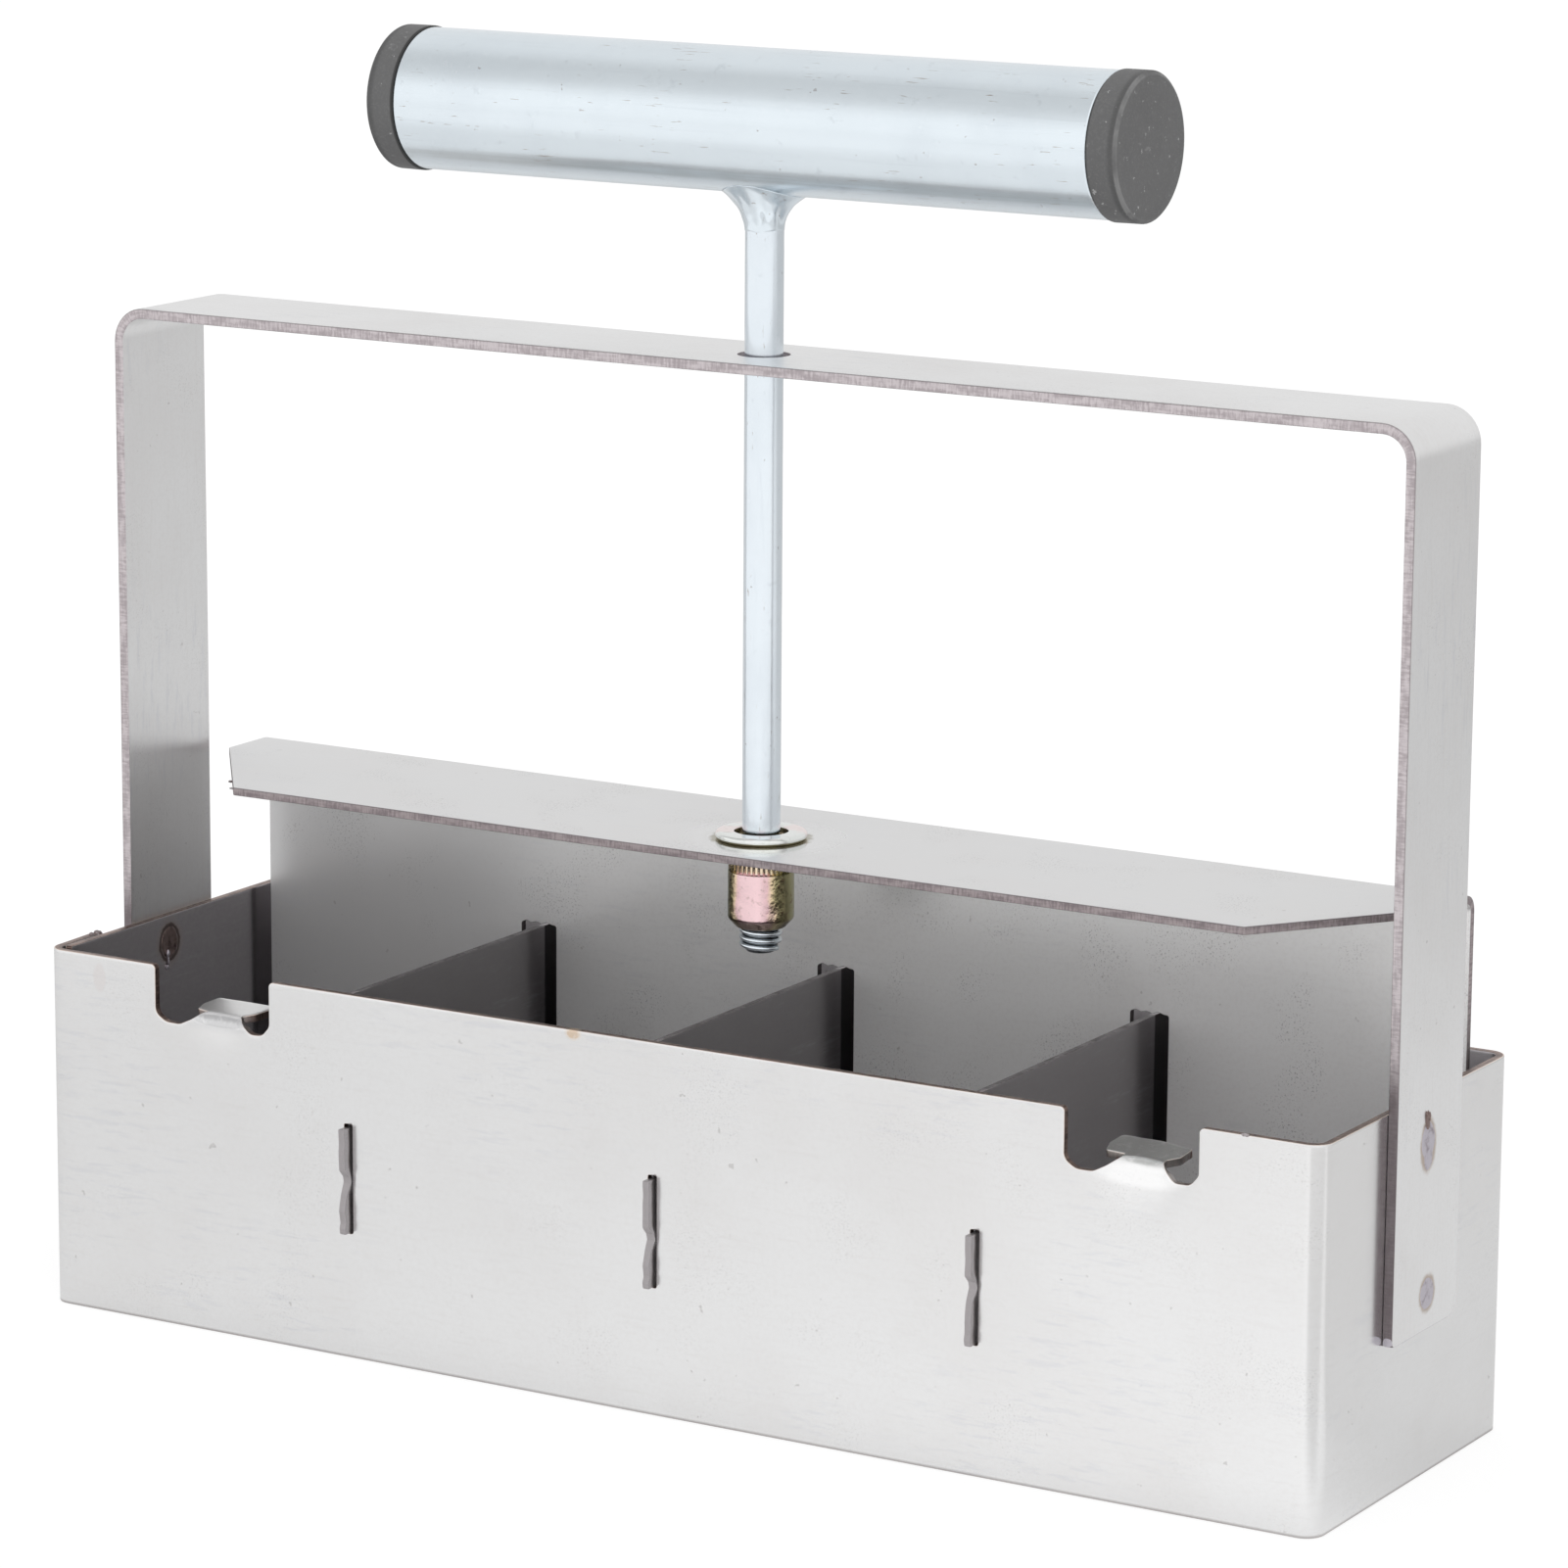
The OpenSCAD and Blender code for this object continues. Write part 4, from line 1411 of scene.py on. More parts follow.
        placed[:, 2] += share * (z - placed[:, 2])

    def sleeve(self) -> Object:
        """Cuts and folds the sleeve."""
        length = self.path.length()
        corners = [(0, 0), (length, 0, 0.5 * MM), (length, self.height, 0.8 * MM)]
        for stop in self.stops:
            corners += self._notch(stop)
        corners.append((0, self.height))
        shift = (self.slot_w - self.divider_t) / 2 - 0.05 * MM
        walls = [wall(x + shift) for x in self.divider_x for wall in (self.front, self.rear)]
        holes = [self._slot(along) for along in walls]
        beside = np.arange(-10.5, 10.6, 0.5)
        fine = [self.front(stop.x + dx * MM) for stop in self.stops for dx in beside]
        columns = np.unique(np.concatenate([self.path.marks(3 * MM), fine]).round(6))
        rows = np.concatenate([np.linspace(0, 38 * MM, 14), np.linspace(39 * MM, self.height, 34)])
        rows = np.unique(rows.round(6))
        blank = Blank(round_corners(corners), self.sheet, columns, rows, holes)
        return blank.folded("mould_sleeve_skin", self.fold)

    def divider(self, index: int) -> Object:
        """Cuts one divider, whose tabs are dented and spread by a chisel."""
        x = self.divider_x[index]
        wall = self.half_w - self.sheet - 0.05 * MM
        reach = self.half_w + 1.5 * MM
        dent_share = (0.50, 0.46, 0.53)[index]
        low, high = self.tab_z, self.tab_z + self.tab_h
        dent = low + dent_share * self.tab_h

        def tab(sign: int) -> list[Corner]:
            """The corners of the tab at one end of the plate."""
            steps = [
                (wall, low),
                (reach - 0.1 * MM, low, 0.25 * MM),
                (reach + 0.02 * MM, low + 0.9 * MM, 0.3 * MM),
                (reach - 0.22 * MM, low + 1.7 * MM, 0.5 * MM),
                (reach - 0.06 * MM, low + 3.4 * MM, 0.9 * MM),
                (reach - 0.45 * MM, dent - 1.9 * MM, 0.9 * MM),
                (reach - 0.92 * MM, dent - 0.2 * MM, 0.5 * MM),
                (reach - 0.75 * MM, dent + 0.7 * MM, 0.3 * MM),
                (reach, dent + 1.6 * MM, 0.4 * MM),
                (reach, high, 0.25 * MM),
                (wall, high),
            ]
            return [(sign * y, *rest) for y, *rest in steps][::sign]

        corners = [(-wall, 0), (wall, 0), *tab(1)]
        corners += [(wall, self.height), (-wall, self.height), *tab(-1)]
        tips = np.linspace(wall, reach, 6)[1:]
        columns = np.concatenate([np.linspace(-wall, wall, 23), tips, -tips])
        rows = np.concatenate([np.linspace(0, self.height, 24), np.linspace(low, high, 40)])

        def fold(flat: Array) -> Array:
            """Bows the plate and dents its tabs where they were struck."""
            along, height, depth = flat.T
            outer = ease(np.abs(along), self.half_w - 0.6 * MM, self.half_w + 0.5 * MM)
            struck = np.exp(-(((height - dent) / (1.3 * MM)) ** 2)) * outer
            bow = 0.05 * MM * ripple(flat[:, :2], 24 * MM, 5.0 + index)
            spread = 1 + 0.35 * struck
            beaten = 0.09 * MM * outer * ripple(flat[:, :2], 2.1 * MM, 33.0 + index)
            ragged = 0.08 * MM * outer * ripple(flat[:, :2], 1.7 * MM, 37.0 + index)
            middle = x + bow + beaten + depth * spread + 0.34 * MM * struck
            return np.column_stack([middle, along + np.sign(along) * ragged, height])

        marks = np.sort(columns), np.unique(rows)
        blank = Blank(round_corners(corners), self.divider_t, *marks, edge=0.12 * MM)
        return blank.folded(DIVIDERS[index] + "_plate", fold)

    def tacks(self) -> Object:
        """The tacks at the end of the seam flap, of which the top one is ragged."""
        x = self.flap_x + 0.55 * MM
        seam = [(x, self.flap_end_y + 0.25 * MM, share * self.height) for share in (0.12, 0.5, 0.9)]
        tacks = lumps("tack", [(centre, mm(0.75, 1.1, 2.6)) for centre in seam], 0.32, 4.0)
        top = self.height - 0.15 * MM
        spatter = [
            ((x - 0.1 * MM, self.flap_end_y + dy * MM, top + dz * MM), mm(r, r, r))
            for dy, dz, r in ((-0.2, -0.3, 0.75), (-1.6, 0.0, 0.42), (0.6, -0.9, 0.5))
        ]
        tacks += lumps("spatter", spatter, 0.4, 17.0, 16)
        burr = (91.0 * MM, 0.1 * MM - self.half_w, self.height + 0.02 * MM)
        tacks += lumps("notch_burr", [(burr, mm(0.55, 0.30, 0.26))], 0.4, 27.0, 14)
        return joined("seam_tack_welds", tacks)

    def weld_backs(self, worn: Worn) -> Object:
        """The scars that the strap's welds leave on the inner faces of the end walls."""
        scars = []
        spots = (
            (Side.LEFT, -2.4, 49.2, 2.0, 2.35),
            (Side.LEFT, 0.4, 26.6, 1.8, 1.9),
            (Side.RIGHT, -0.5, 48.2, 1.9, 2.6),
            (Side.RIGHT, 0.5, 26.6, 1.8, 1.9),
        )
        face = self.end_x - self.sheet
        for index, (side, y, z, *half) in enumerate(spots):
            sign, name = side.value, f"scar_{index}"
            scar = weld_scar(name, sign * face, -sign, mm(y, z), mm(*half), 3.0 * index)
            scars.append(coat(scar, worn["scar"]))
        drips = (
            (-3.0, 47.6, 0.30, 0.34, 0.62),
            (-2.95, 46.5, 0.2, 0.16, 0.7),
            (-3.15, 45.5, 0.26, 0.26, 0.42),
        )
        sizes = [((0.12 * MM - face, *mm(y, z)), mm(*radii)) for y, z, *radii in drips]
        scars += [coat(drip, worn["spot"]) for drip in lumps("drip", sizes, 0.25, 31.0, 16)]
        return joined("weld_scars", scars)

    def build(self, worn: Worn) -> None:
        """Builds and dresses every piece of the mould."""
        dress(coat(self.sleeve(), worn["mould"]), Body.MOULD, "mould_sheet", "mould_sleeve")
        dress(coat(self.tacks(), worn["tack"]), Body.MOULD, "tack_metal", "seam_tacks")
        dress(self.weld_backs(worn), Body.MOULD, "tack_metal")
        for index, node in enumerate(DIVIDERS):
            plate = coat(self.divider(index), worn["divider"])
            dress(plate, Body.MOULD, "divider_sheet", node)


def weld_scar(
    name: str,
    face: float,
    out: int,
    middle: tuple[float, float],
    half: tuple[float, float],
    seed: float,
    dome: float = 0.0,
    lip: float = 0.16 * MM,
) -> Object:
    """Makes a low uneven disc with a raised lip, on a face across X.

    Args:
        name: The name of the object.
        face: The face's X.
        out: The sign of X that the disc stands out to.
        middle: Its Y and Z.
        half: Its half sizes along Y and Z.
        seed: A shift of its noise.
        dome: The height of its middle.
        lip: The height of its lip.

    Returns:
        The disc.
    """
    shares, count = (0.2, 0.4, 0.55, 0.66, 0.74, 0.82, 0.9, 0.97, 1.04), 36
    share, angle = ring_grid(np.array(shares), count)
    unit = share[:, None] * around(angle)
    wander = 1 + 0.10 * ripple(unit, 0.8, seed)
    ring = np.exp(-(((share - 0.86) / 0.09) ** 2))
    height = dome * (1 - share**2) + lip * ring * (0.75 + 0.5 * ripple(unit, 0.35, seed + 5))
    height = np.maximum(height + 0.04 * MM * ripple(unit, 0.3, seed + 8), 0.01 * MM)
    height[share > 1] = -0.15 * MM
    y = middle[0] + half[0] * unit[:, 0] * wander
    z = middle[1] + half[1] * unit[:, 1] * wander
    points = np.column_stack([face + out * height, y, z])
    top = (face + out * max(dome, 0.02 * MM), *middle)
    under = (face - out * 0.15 * MM, *middle)
    return finish_mesh(name, np.vstack([points, top, under]), ring_faces(len(shares), count, True))


@dataclass
class Strap:
    """The carrying strap, folded from flat bar, and the spots that weld it to the end walls."""

    thickness: float = 1.5 * MM
    bend_r: float = 5.0 * MM
    corner_r: float = 2.6 * MM
    front_corner_r: float = 0.8 * MM
    hole_r: float = 3.65 * MM

    def __post_init__(self) -> None:
        """Reads the main sizes from the frame."""
        low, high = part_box("carrying_strap")
        self.outer_x, self.half_w = high.x, high.y
        self.low_z, self.top_z = low.z, high.z
        leg = self.top_z - self.bend_r - self.low_z
        straights = leg, 2 * (self.outer_x - self.bend_r), leg
        start = (-self.outer_x + self.thickness / 2, self.low_z)
        self.path = FoldPath.square(start, QUARTER, self.bend_r - self.thickness / 2, *straights)

    def fold(self, flat: Array) -> Array:
        """Folds the strap's blank."""
        along, across, depth = flat.T
        soft = 0.06 * MM * ripple(flat[:, :2], 45 * MM, 11.0)
        x, z = self.path.lifted(along, depth + soft).T
        return np.column_stack([x, across, z])

    def bar(self) -> Object:
        """Cuts and folds the strap."""
        length, half = self.path.length(), self.half_w
        front, rear = self.front_corner_r, self.corner_r
        ends = [(0, -half, front), (length, -half, front), (length, half, rear), (0, half, rear)]
        outline = round_corners([(s, y, r) for s, y, r in ends])
        holes = [circle(length / 2, 0, self.hole_r, 48)]
        columns = self.path.marks(3.4 * MM, 10)
        near = length / 2 + np.arange(-6, 6.1, 1.0) * MM
        columns = np.unique(np.concatenate([columns, near]).round(6))
        rows = np.linspace(-half, half, 11)
        blank = Blank(outline, self.thickness, columns, rows, holes, 0.17 * MM)
        return blank.folded("carrying_strap_bar", self.fold)

    def welds(self, side: Side, worn: Worn) -> Object:
        """The weld spots of one leg: a round one below, and a long one with a burnt pit above."""
        sign = side.value
        face = sign * self.outer_x
        spots = (
            ("low", 0.5, 26.6, 2.1, 2.25, 0.16),
            ("high", -0.45, 47.9, 2.05, 2.7, 0.15),
            ("run", -0.3, 45.6, 1.25, 1.7, 0.20),
        )
        parts = []
        for index, (name, y, z, half_y, half_z, dome) in enumerate(spots):
            sizes = mm(y, z), mm(half_y, half_z), 41.0 + sign + 3 * index, *mm(dome, 0.05)
            parts.append(coat(weld_scar(f"spot_{name}", face, sign, *sizes), worn["spot"]))
        burrs = (
            (-1.3, 51.3, 0.22, 0.9),
            (-0.75, 51.5, 0.24, 0.8),
            (-0.3, 51.2, 0.2, 0.7),
            (-0.8, 50.2, 0.62, 0.75),
        )
        sizes = [((face, *mm(y, z)), mm(0.26, *half)) for y, z, *half in burrs]
        parts += [coat(burr, worn["scar"]) for burr in lumps("burr", sizes, 0.35, 51.0, 14)]
        lip = (face - 0.72 * sign * MM, -self.half_w - 0.01 * MM, self.low_z + 0.75 * MM)
        lip = lump("sheared_lip", lip, mm(0.72, 0.13, 0.62), 0.25, 58.0, 16)
        parts.append(coat(lip, worn["spot"]))
        return joined(f"strap_weld_spots_{side.name.lower()}", parts)

    def build(self, worn: Worn) -> None:
        """Builds and dresses the strap and its welds."""
        dress(coat(self.bar(), worn["strap"]), Body.MOULD, "strap_steel", "carrying_strap")
        for side in Side:
            node = f"strap_welds_{side.name.lower()}"
            dress(self.welds(side, worn), Body.MOULD, "weld_metal", node)


@dataclass
class Ejector:
    """The folded ejector sheet, its seed pins and screws, and the rivet nut in its flange."""

    sheet: float = 1.2 * MM
    bend_r: float = 2.5 * MM
    flange_full: float = 11.4 * MM
    flange_front: float = -12.5 * MM
    chamfer: float = 17.5 * MM
    slot_half: float = 3.0 * MM
    plate_corner: float = 3.0 * MM
    nut_hole_r: float = 4.75 * MM
    screw_hole_r: float = 2.2 * MM
    pin_r: float = 4.0 * MM
    pin_tip_r: float = 2.5 * MM
    knurl_h: float = 3.4 * MM

    def __post_init__(self) -> None:
        """Reads the main sizes from the frame."""
        low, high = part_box("ejector_frame")
        self.half_l, self.front_y, self.panel_y = high.x, low.y, high.y
        self.plate_z, self.flange_z = low.z, high.z
        self.pin_x = [middle_x(node) for node in PINS]
        self.pin_low, self.pin_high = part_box(PINS[0])
        self.pin_y = (self.pin_low.y + self.pin_high.y) / 2
        self.divider_x = [middle_x(node) for node in DIVIDERS]
        self.slot_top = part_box("divider_centre")[1].z + 0.3 * MM
        self.nut_low, self.nut_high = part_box("rivet_nut")
        flange = self.panel_y - self.bend_r - self.flange_front
        panel = self.flange_z - self.plate_z - 2 * self.bend_r
        straights = flange, panel, self.panel_y - self.bend_r - self.front_y
        start = (self.flange_front, self.flange_z - self.sheet / 2)
        self.path = FoldPath.square(start, 0.0, self.bend_r - self.sheet / 2, *straights)

    def fold(self, flat: Array) -> Array:
        """Folds the ejector's blank."""
        along, across, depth = flat.T
        soft = 0.10 * MM * ripple(flat[:, :2], 52 * MM, 21.0)
        return np.column_stack([across, self.path.lifted(along, depth + soft)])

    def _outline(self) -> Array:
        """The outline of the blank: the flange, the panel and four legs that end in plates."""
        length, half = self.path.length(), self.half_l
        full = self.panel_y - self.flange_full - self.flange_front
        slot = self.path.length(2) + self.flange_z - self.bend_r - self.slot_top
        cut = self.plate_corner
        corners = [(full, -half, 0.4 * MM)]
        edges = [-half]
        for x in self.divider_x:
            edges.extend([x - self.slot_half, x + self.slot_half])
        edges.append(half)
        for left, right in zip(edges[::2], edges[1::2]):
            plate = [(length - cut, left), (length, left + cut)]
            plate += [(length, right - cut), (length - cut, right)]
            corners += [(*corner, 0.5 * MM) for corner in plate]
            if right < half:
                for share, torn, round_r in TORN_TOP:
                    across = right + share * 2 * self.slot_half
                    corners.append((slot - torn * MM, across, round_r * MM))
        corners += [
            (full, half, 0.4 * MM),
            (0, half - self.chamfer, 0.4 * MM),
            (0, self.chamfer - half, 0.4 * MM),
        ]
        return round_corners(corners)

    def frame_sheet(self) -> Object:
        """Cuts and folds the ejector's sheet."""
        length = self.path.length()
        screw = length - (self.pin_y - self.front_y)
        holes = [circle(screw, x, self.screw_hole_r, 24) for x in self.pin_x]
        holes.append(circle(-self.flange_front, 0, self.nut_hole_r, 36))
        rows = np.unique(np.linspace(-self.half_l, self.half_l, 63).round(6))
        blank = Blank(self._outline(), self.sheet, self.path.marks(3.2 * MM), rows, holes)
        return blank.folded("ejector_sheet_frame", self.fold)

    def pin(self, index: int) -> Object:
        """Turns one seed pin, with its rounded tip."""
        low, high = self.pin_low.z, self.pin_high.z
        corners = [(0, low), (self.pin_r, low, self.pin_tip_r)]
        corners += [(self.pin_r, high, 0.25 * MM), (0, high)]
        place = (self.pin_x[index], self.pin_y, 0)
        profile = half_profile(round_corners(corners))
        return lathed(f"seed_pin_turned_{index + 1}", profile, "Z", place, 48)

    def screws(self, material: Material) -> Object:
        """Sets a slotted pan-head screw over each pin."""
        plate_top = self.plate_z + self.sheet
        head_r, head_h = 4.0 * MM, 2.4 * MM
        corners = [(0, 0), (head_r, 0, 0.2 * MM), (head_r, head_h, 1.1 * MM), (0, head_h)]
        profile = half_profile(round_corners(corners))
        slot_half, slot_depth = 0.5 * MM, 1.1 * MM

        def slotted(polar: Array) -> Array:
            """Sinks the driver's slot into the head."""
            aside = np.abs(polar[:, 0] * np.sin(polar[:, 2]))
            sunk = 1 - ease(aside, slot_half * 0.9, slot_half * 1.1)
            sunk = (polar[:, 1] > head_h - 1.2 * MM) * sunk
            return np.column_stack([polar[:, 0], polar[:, 1] - slot_depth * sunk])

        crown_r = profile[profile[:, 1] > head_h - 0.02 * MM][0, 0]
        fine = np.linspace(head_r * 0.97, 0.3 * MM, 24)
        fine = fine[fine < crown_r]
        crown = np.column_stack([fine, np.full(len(fine), head_h)])
        dense = np.vstack([profile[:-1], crown, (0, head_h)])
        master = lathed("screw_master", dense, count=96, shape=slotted)
        values = {
            "Copied": master,
            "Count": len(self.pin_x),
            "Start": (self.pin_x[0], self.pin_y, plate_top),
            "Spacing": (self.pin_x[1] - self.pin_x[0], 0.0, 0.0),
            "Material": material,
        }
        made = row_recipe().made("pin_screw_heads", values)
        bpy.data.objects.remove(master)
        return made

    def nut(self, material: Material) -> Object:
        """Turns the rivet nut, and sets the knurled band under the flange round it."""
        low, high, under = self.nut_low.z, self.nut_high.z, self.flange_z
        head_r, body_r, neck_r = self.nut_high.x, 4.7 * MM, 4.45 * MM
        bore_r, thread_r = 3.8 * MM, 3.08 * MM
        neck = under - self.sheet - self.knurl_h
        corners = [
            (thread_r, low, 0.15 * MM),
            (body_r - 1.2 * MM, low, 0.3 * MM),
            (body_r, low + 1.3 * MM, 0.9 * MM),
            (body_r, neck, 0.25 * MM),
            (neck_r, neck + 0.15 * MM, 0.1 * MM),
            (neck_r, under, 0.05 * MM),
            (head_r - 0.25 * MM, under, 0.1 * MM),
            (head_r, under + 0.3 * MM, 0.25 * MM),
            (head_r, high, 0.55 * MM),
            (bore_r, high, 0.22 * MM),
            (bore_r, low + 6 * MM, 0.3 * MM),
            (thread_r, low + 5.6 * MM, 0.1 * MM),
        ]
        profile = spaced(round_corners(corners), 0.7 * MM)
        beaten = dented(
            0.035 * MM,
            0.55,
            4 * MM,
            61.0,
            lambda polar: (polar[:, 1] < neck) & (polar[:, 0] > bore_r + 0.2 * MM),
        )
        body = coat(lathed("nut_body", profile, count=84, shape=beaten), material)
        band = under - self.sheet - neck
        values = {
            "Teeth": 40,
            "Radius": neck_r,
            "Middle": neck + band / 2 + 0.08 * MM,
            "Tooth": (0.34 * MM, 0.36 * MM, band),
            "Material": material,
        }
        knurl = knurl_recipe().made("nut_knurl", values)
        return joined("rivet_nut_turned", [body, knurl])

    def burrs(self) -> Object:
        """The two small burrs that the shears left on the flange's left chamfer."""
        drop = self.flange_z - 0.35 * MM
        start = np.array([-self.half_l, self.panel_y - self.flange_full])
        end = np.array([self.chamfer - self.half_l, self.flange_front])
        places = [start + (end - start) * share for share in (0.80, 0.97)]
        sizes = [((x - 0.25 * MM, y, drop), mm(0.42, 0.30, 0.16)) for x, y in places]
        return joined("flange_burrs", lumps("burr", sizes, 0.35, 121.0, 14))

    def build(self, worn: Worn) -> None:
        """Builds and dresses every piece of the ejector."""
        sheet = coat(self.frame_sheet(), worn["ejector"])
        dress(sheet, Body.EJECTOR, "ejector_sheet", "ejector_frame")
        for index, node in enumerate(PINS):
            dress(coat(self.pin(index), worn["pin"]), Body.EJECTOR, "pin_steel", node)
        dress(self.screws(worn["screw"]), Body.EJECTOR, "screw_steel", "pin_screws")
        dress(self.nut(worn["nut"]), Body.EJECTOR, "nut_yellow_zinc", "rivet_nut")
        dress(coat(self.burrs(), worn["tack"]), Body.EJECTOR, "ejector_sheet")


@dataclass
class Plunger:
    """The threaded rod, the weld bead on it, and the handle tube with its rubber caps."""

    shank_r: float = 2.7 * MM
    crest_r: float = 3.04 * MM
    pitch: float = 1.0 * MM
    tube_r: float = 10.0 * MM
    wall: float = 1.3 * MM
    bead_x: float = 6.4 * MM
    bead_y: float = 5.4 * MM
    bead_h: float = 4.9 * MM

    def __post_init__(self) -> None:
        """Reads the main sizes from the frame."""
        low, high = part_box("handle_tube")
        self.half_l, self.axis_z = high.x, (low.z + high.z) / 2
        self.rod_low, self.rod_high = (corner.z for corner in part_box("plunger_rod"))
        self.flange_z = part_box("ejector_frame")[1].z
        self.cap_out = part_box("end_cap_right")[1].x

    def rod(self, material: Material) -> Object:
        """Turns the rod's core, and winds the thread's ridge round its lower end."""
        root = self.crest_r - 0.62 * MM
        shoulder = self.flange_z + 0.75 * MM
        corners = [
            (0, self.rod_low),
            (root - 0.5 * MM, self.rod_low, 0.2 * MM),
            (root, self.rod_low + 0.6 * MM, 0.2 * MM),
            (root, shoulder - 0.1 * MM, 0.05 * MM),
            (self.shank_r, shoulder + 0.1 * MM, 0.55 * MM),
            (self.shank_r, self.rod_high, 0.1 * MM),
            (0, self.rod_high),
        ]
        profile = half_profile(spaced(round_corners(corners), 1.6 * MM))
        uneven = dented(
            0.02 * MM, 0.8, 3 * MM, 71.0, lambda polar: (polar[:, 1] > shoulder) & (polar[:, 0] > 0)
        )
        core = coat(lathed("rod_core", profile, count=56, shape=uneven), material)
        ridge = 0.38 * MM
        rise = shoulder - 2.5 * MM - self.rod_low
        values = {
            "Turns": rise / self.pitch,
            "Radius": self.crest_r - ridge,
            "Height": rise,
            "Ridge": ridge,
            "Low": self.rod_low + ridge + 0.35 * MM,
            "Material": material,
        }
        thread = helix_recipe().made("rod_thread", values)
        return joined("plunger_rod_threaded", [core, thread])

    def bead(self) -> Object:
        """Lays the weld bead that flares from the rod to the tube's underside."""
        inner = self.shank_r - 0.05 * MM
        under = self.axis_z - self.tube_r
        low = under - self.bead_h
        steps, count = 26, 96
        share, angle = ring_grid(np.arange(steps) / (steps - 1), count)
        ring = around(angle)
        reach = 1 / np.sqrt((ring[:, 0] / self.bead_x) ** 2 + (ring[:, 1] / self.bead_y) ** 2)
        reach = reach * (1 + 0.07 * ripple(ring, 0.7, 81.0))
        crests = np.abs(np.sin(4.5 * angle + 0.7 + 2.0 * share))
        folds = 0.42 * MM * crests * share**1.2 * (1.05 - share) * 2
        uneven = ripple(np.column_stack([ring * 1.3, share * 2.2]), 0.42, 83.0)
        folds = folds + 0.34 * MM * uneven * share * (1.15 - share)
        radius = self.shank_r + 0.05 * MM + (reach - self.shank_r) * share**2.3 + folds
        sunk_r = self.tube_r - 0.06 * MM
        top = self.axis_z - np.sqrt(np.maximum(sunk_r**2 - (ring[:, 1] * reach) ** 2, 0))
        start = low + 0.5 * MM * ripple(ring, 0.8, 87.0)
        shell = np.column_stack([ring * radius[:, None], start + (top - start) * share])
        roof_share = np.repeat(np.array([0.66, 0.33, 0.0]), count)
        roof_radius = inner + (np.tile(radius[-count:], 3) - inner) * roof_share
        roof_xy = np.tile(ring[:count], (3, 1)) * roof_radius[:, None]
        roof_z = self.axis_z - np.sqrt(sunk_r**2 - roof_xy[:, 1] ** 2)
        floor = np.column_stack([ring[:count] * inner, start[:count]])
        points = np.vstack([shell, np.column_stack([roof_xy, roof_z]), floor])
        return finish_mesh("handle_weld_bead", points, ring_faces(steps + 4, count, False))

    def tube(self) -> Object:
        """Turns the handle tube."""
        outer, inner, half = self.tube_r, self.tube_r - self.wall, self.half_l
        soft, round_r = 0.2 * MM, 0.35 * MM
        corners = [(inner, -half, soft), (outer, -half, round_r)]
        corners += [(outer, half, round_r), (inner, half, soft)]
        profile = spaced(round_corners(corners), 5 * MM)
        return lathed("handle_tube_drawn", profile, "X", (0, 0, self.axis_z), 96)

    def cap(self, side: Side) -> Object:
        """Moulds one rubber cap with its hollow plug."""
        head = self.cap_out - self.half_l
        head_r, plug_r, hollow_r = 10.2 * MM, self.tube_r - self.wall - 0.05 * MM, 6.6 * MM
        depth = 9 * MM
        corners = [
            (0, 0),
            (hollow_r, 0, 0.3 * MM),
            (hollow_r, -depth, 0.3 * MM),
            (plug_r, -depth, 0.5 * MM),
            (plug_r, 0, 0.1 * MM),
            (head_r, 0, 0.35 * MM),
            (head_r, head - 0.4 * MM, 0.3 * MM),
            (head_r - 0.45 * MM, head, 0.3 * MM),
            (0, head),
        ]
        profile = half_profile(spaced(round_corners(corners), 0.9 * MM))
        seed = 91.0 + side.value
        moulded = dented(
            0.06 * MM, 0.7, 6 * MM, seed, lambda polar: polar[:, 0] > plug_r + 0.2 * MM
        )
        made = lathed("cap", profile, "X", count=96, shape=moulded)
        if side is Side.LEFT:
            made.data.transform(Matrix.Rotation(math.pi, 4, "Z"))
        made.data.transform(Matrix.Translation((side.value * self.half_l, 0, self.axis_z)))
        made.name = f"end_cap_moulded_{side.name.lower()}"
        return made

    def build(self, worn: Worn) -> None:
        """Builds and dresses every piece of the plunger."""
        dress(self.rod(worn["rod"]), Body.HANDLE, "rod_zinc", "plunger_rod")
        dress(coat(self.bead(), worn["bead"]), Body.HANDLE, "bead_zinc", "handle_weld")
        dress(coat(self.tube(), worn["tube"]), Body.HANDLE, "tube_zinc", "handle_tube")
        for side in Side:
            cap = coat(self.cap(side), worn["cap"])
            dress(cap, Body.HANDLE, "cap_rubber", f"end_cap_{side.name.lower()}")


# Studio


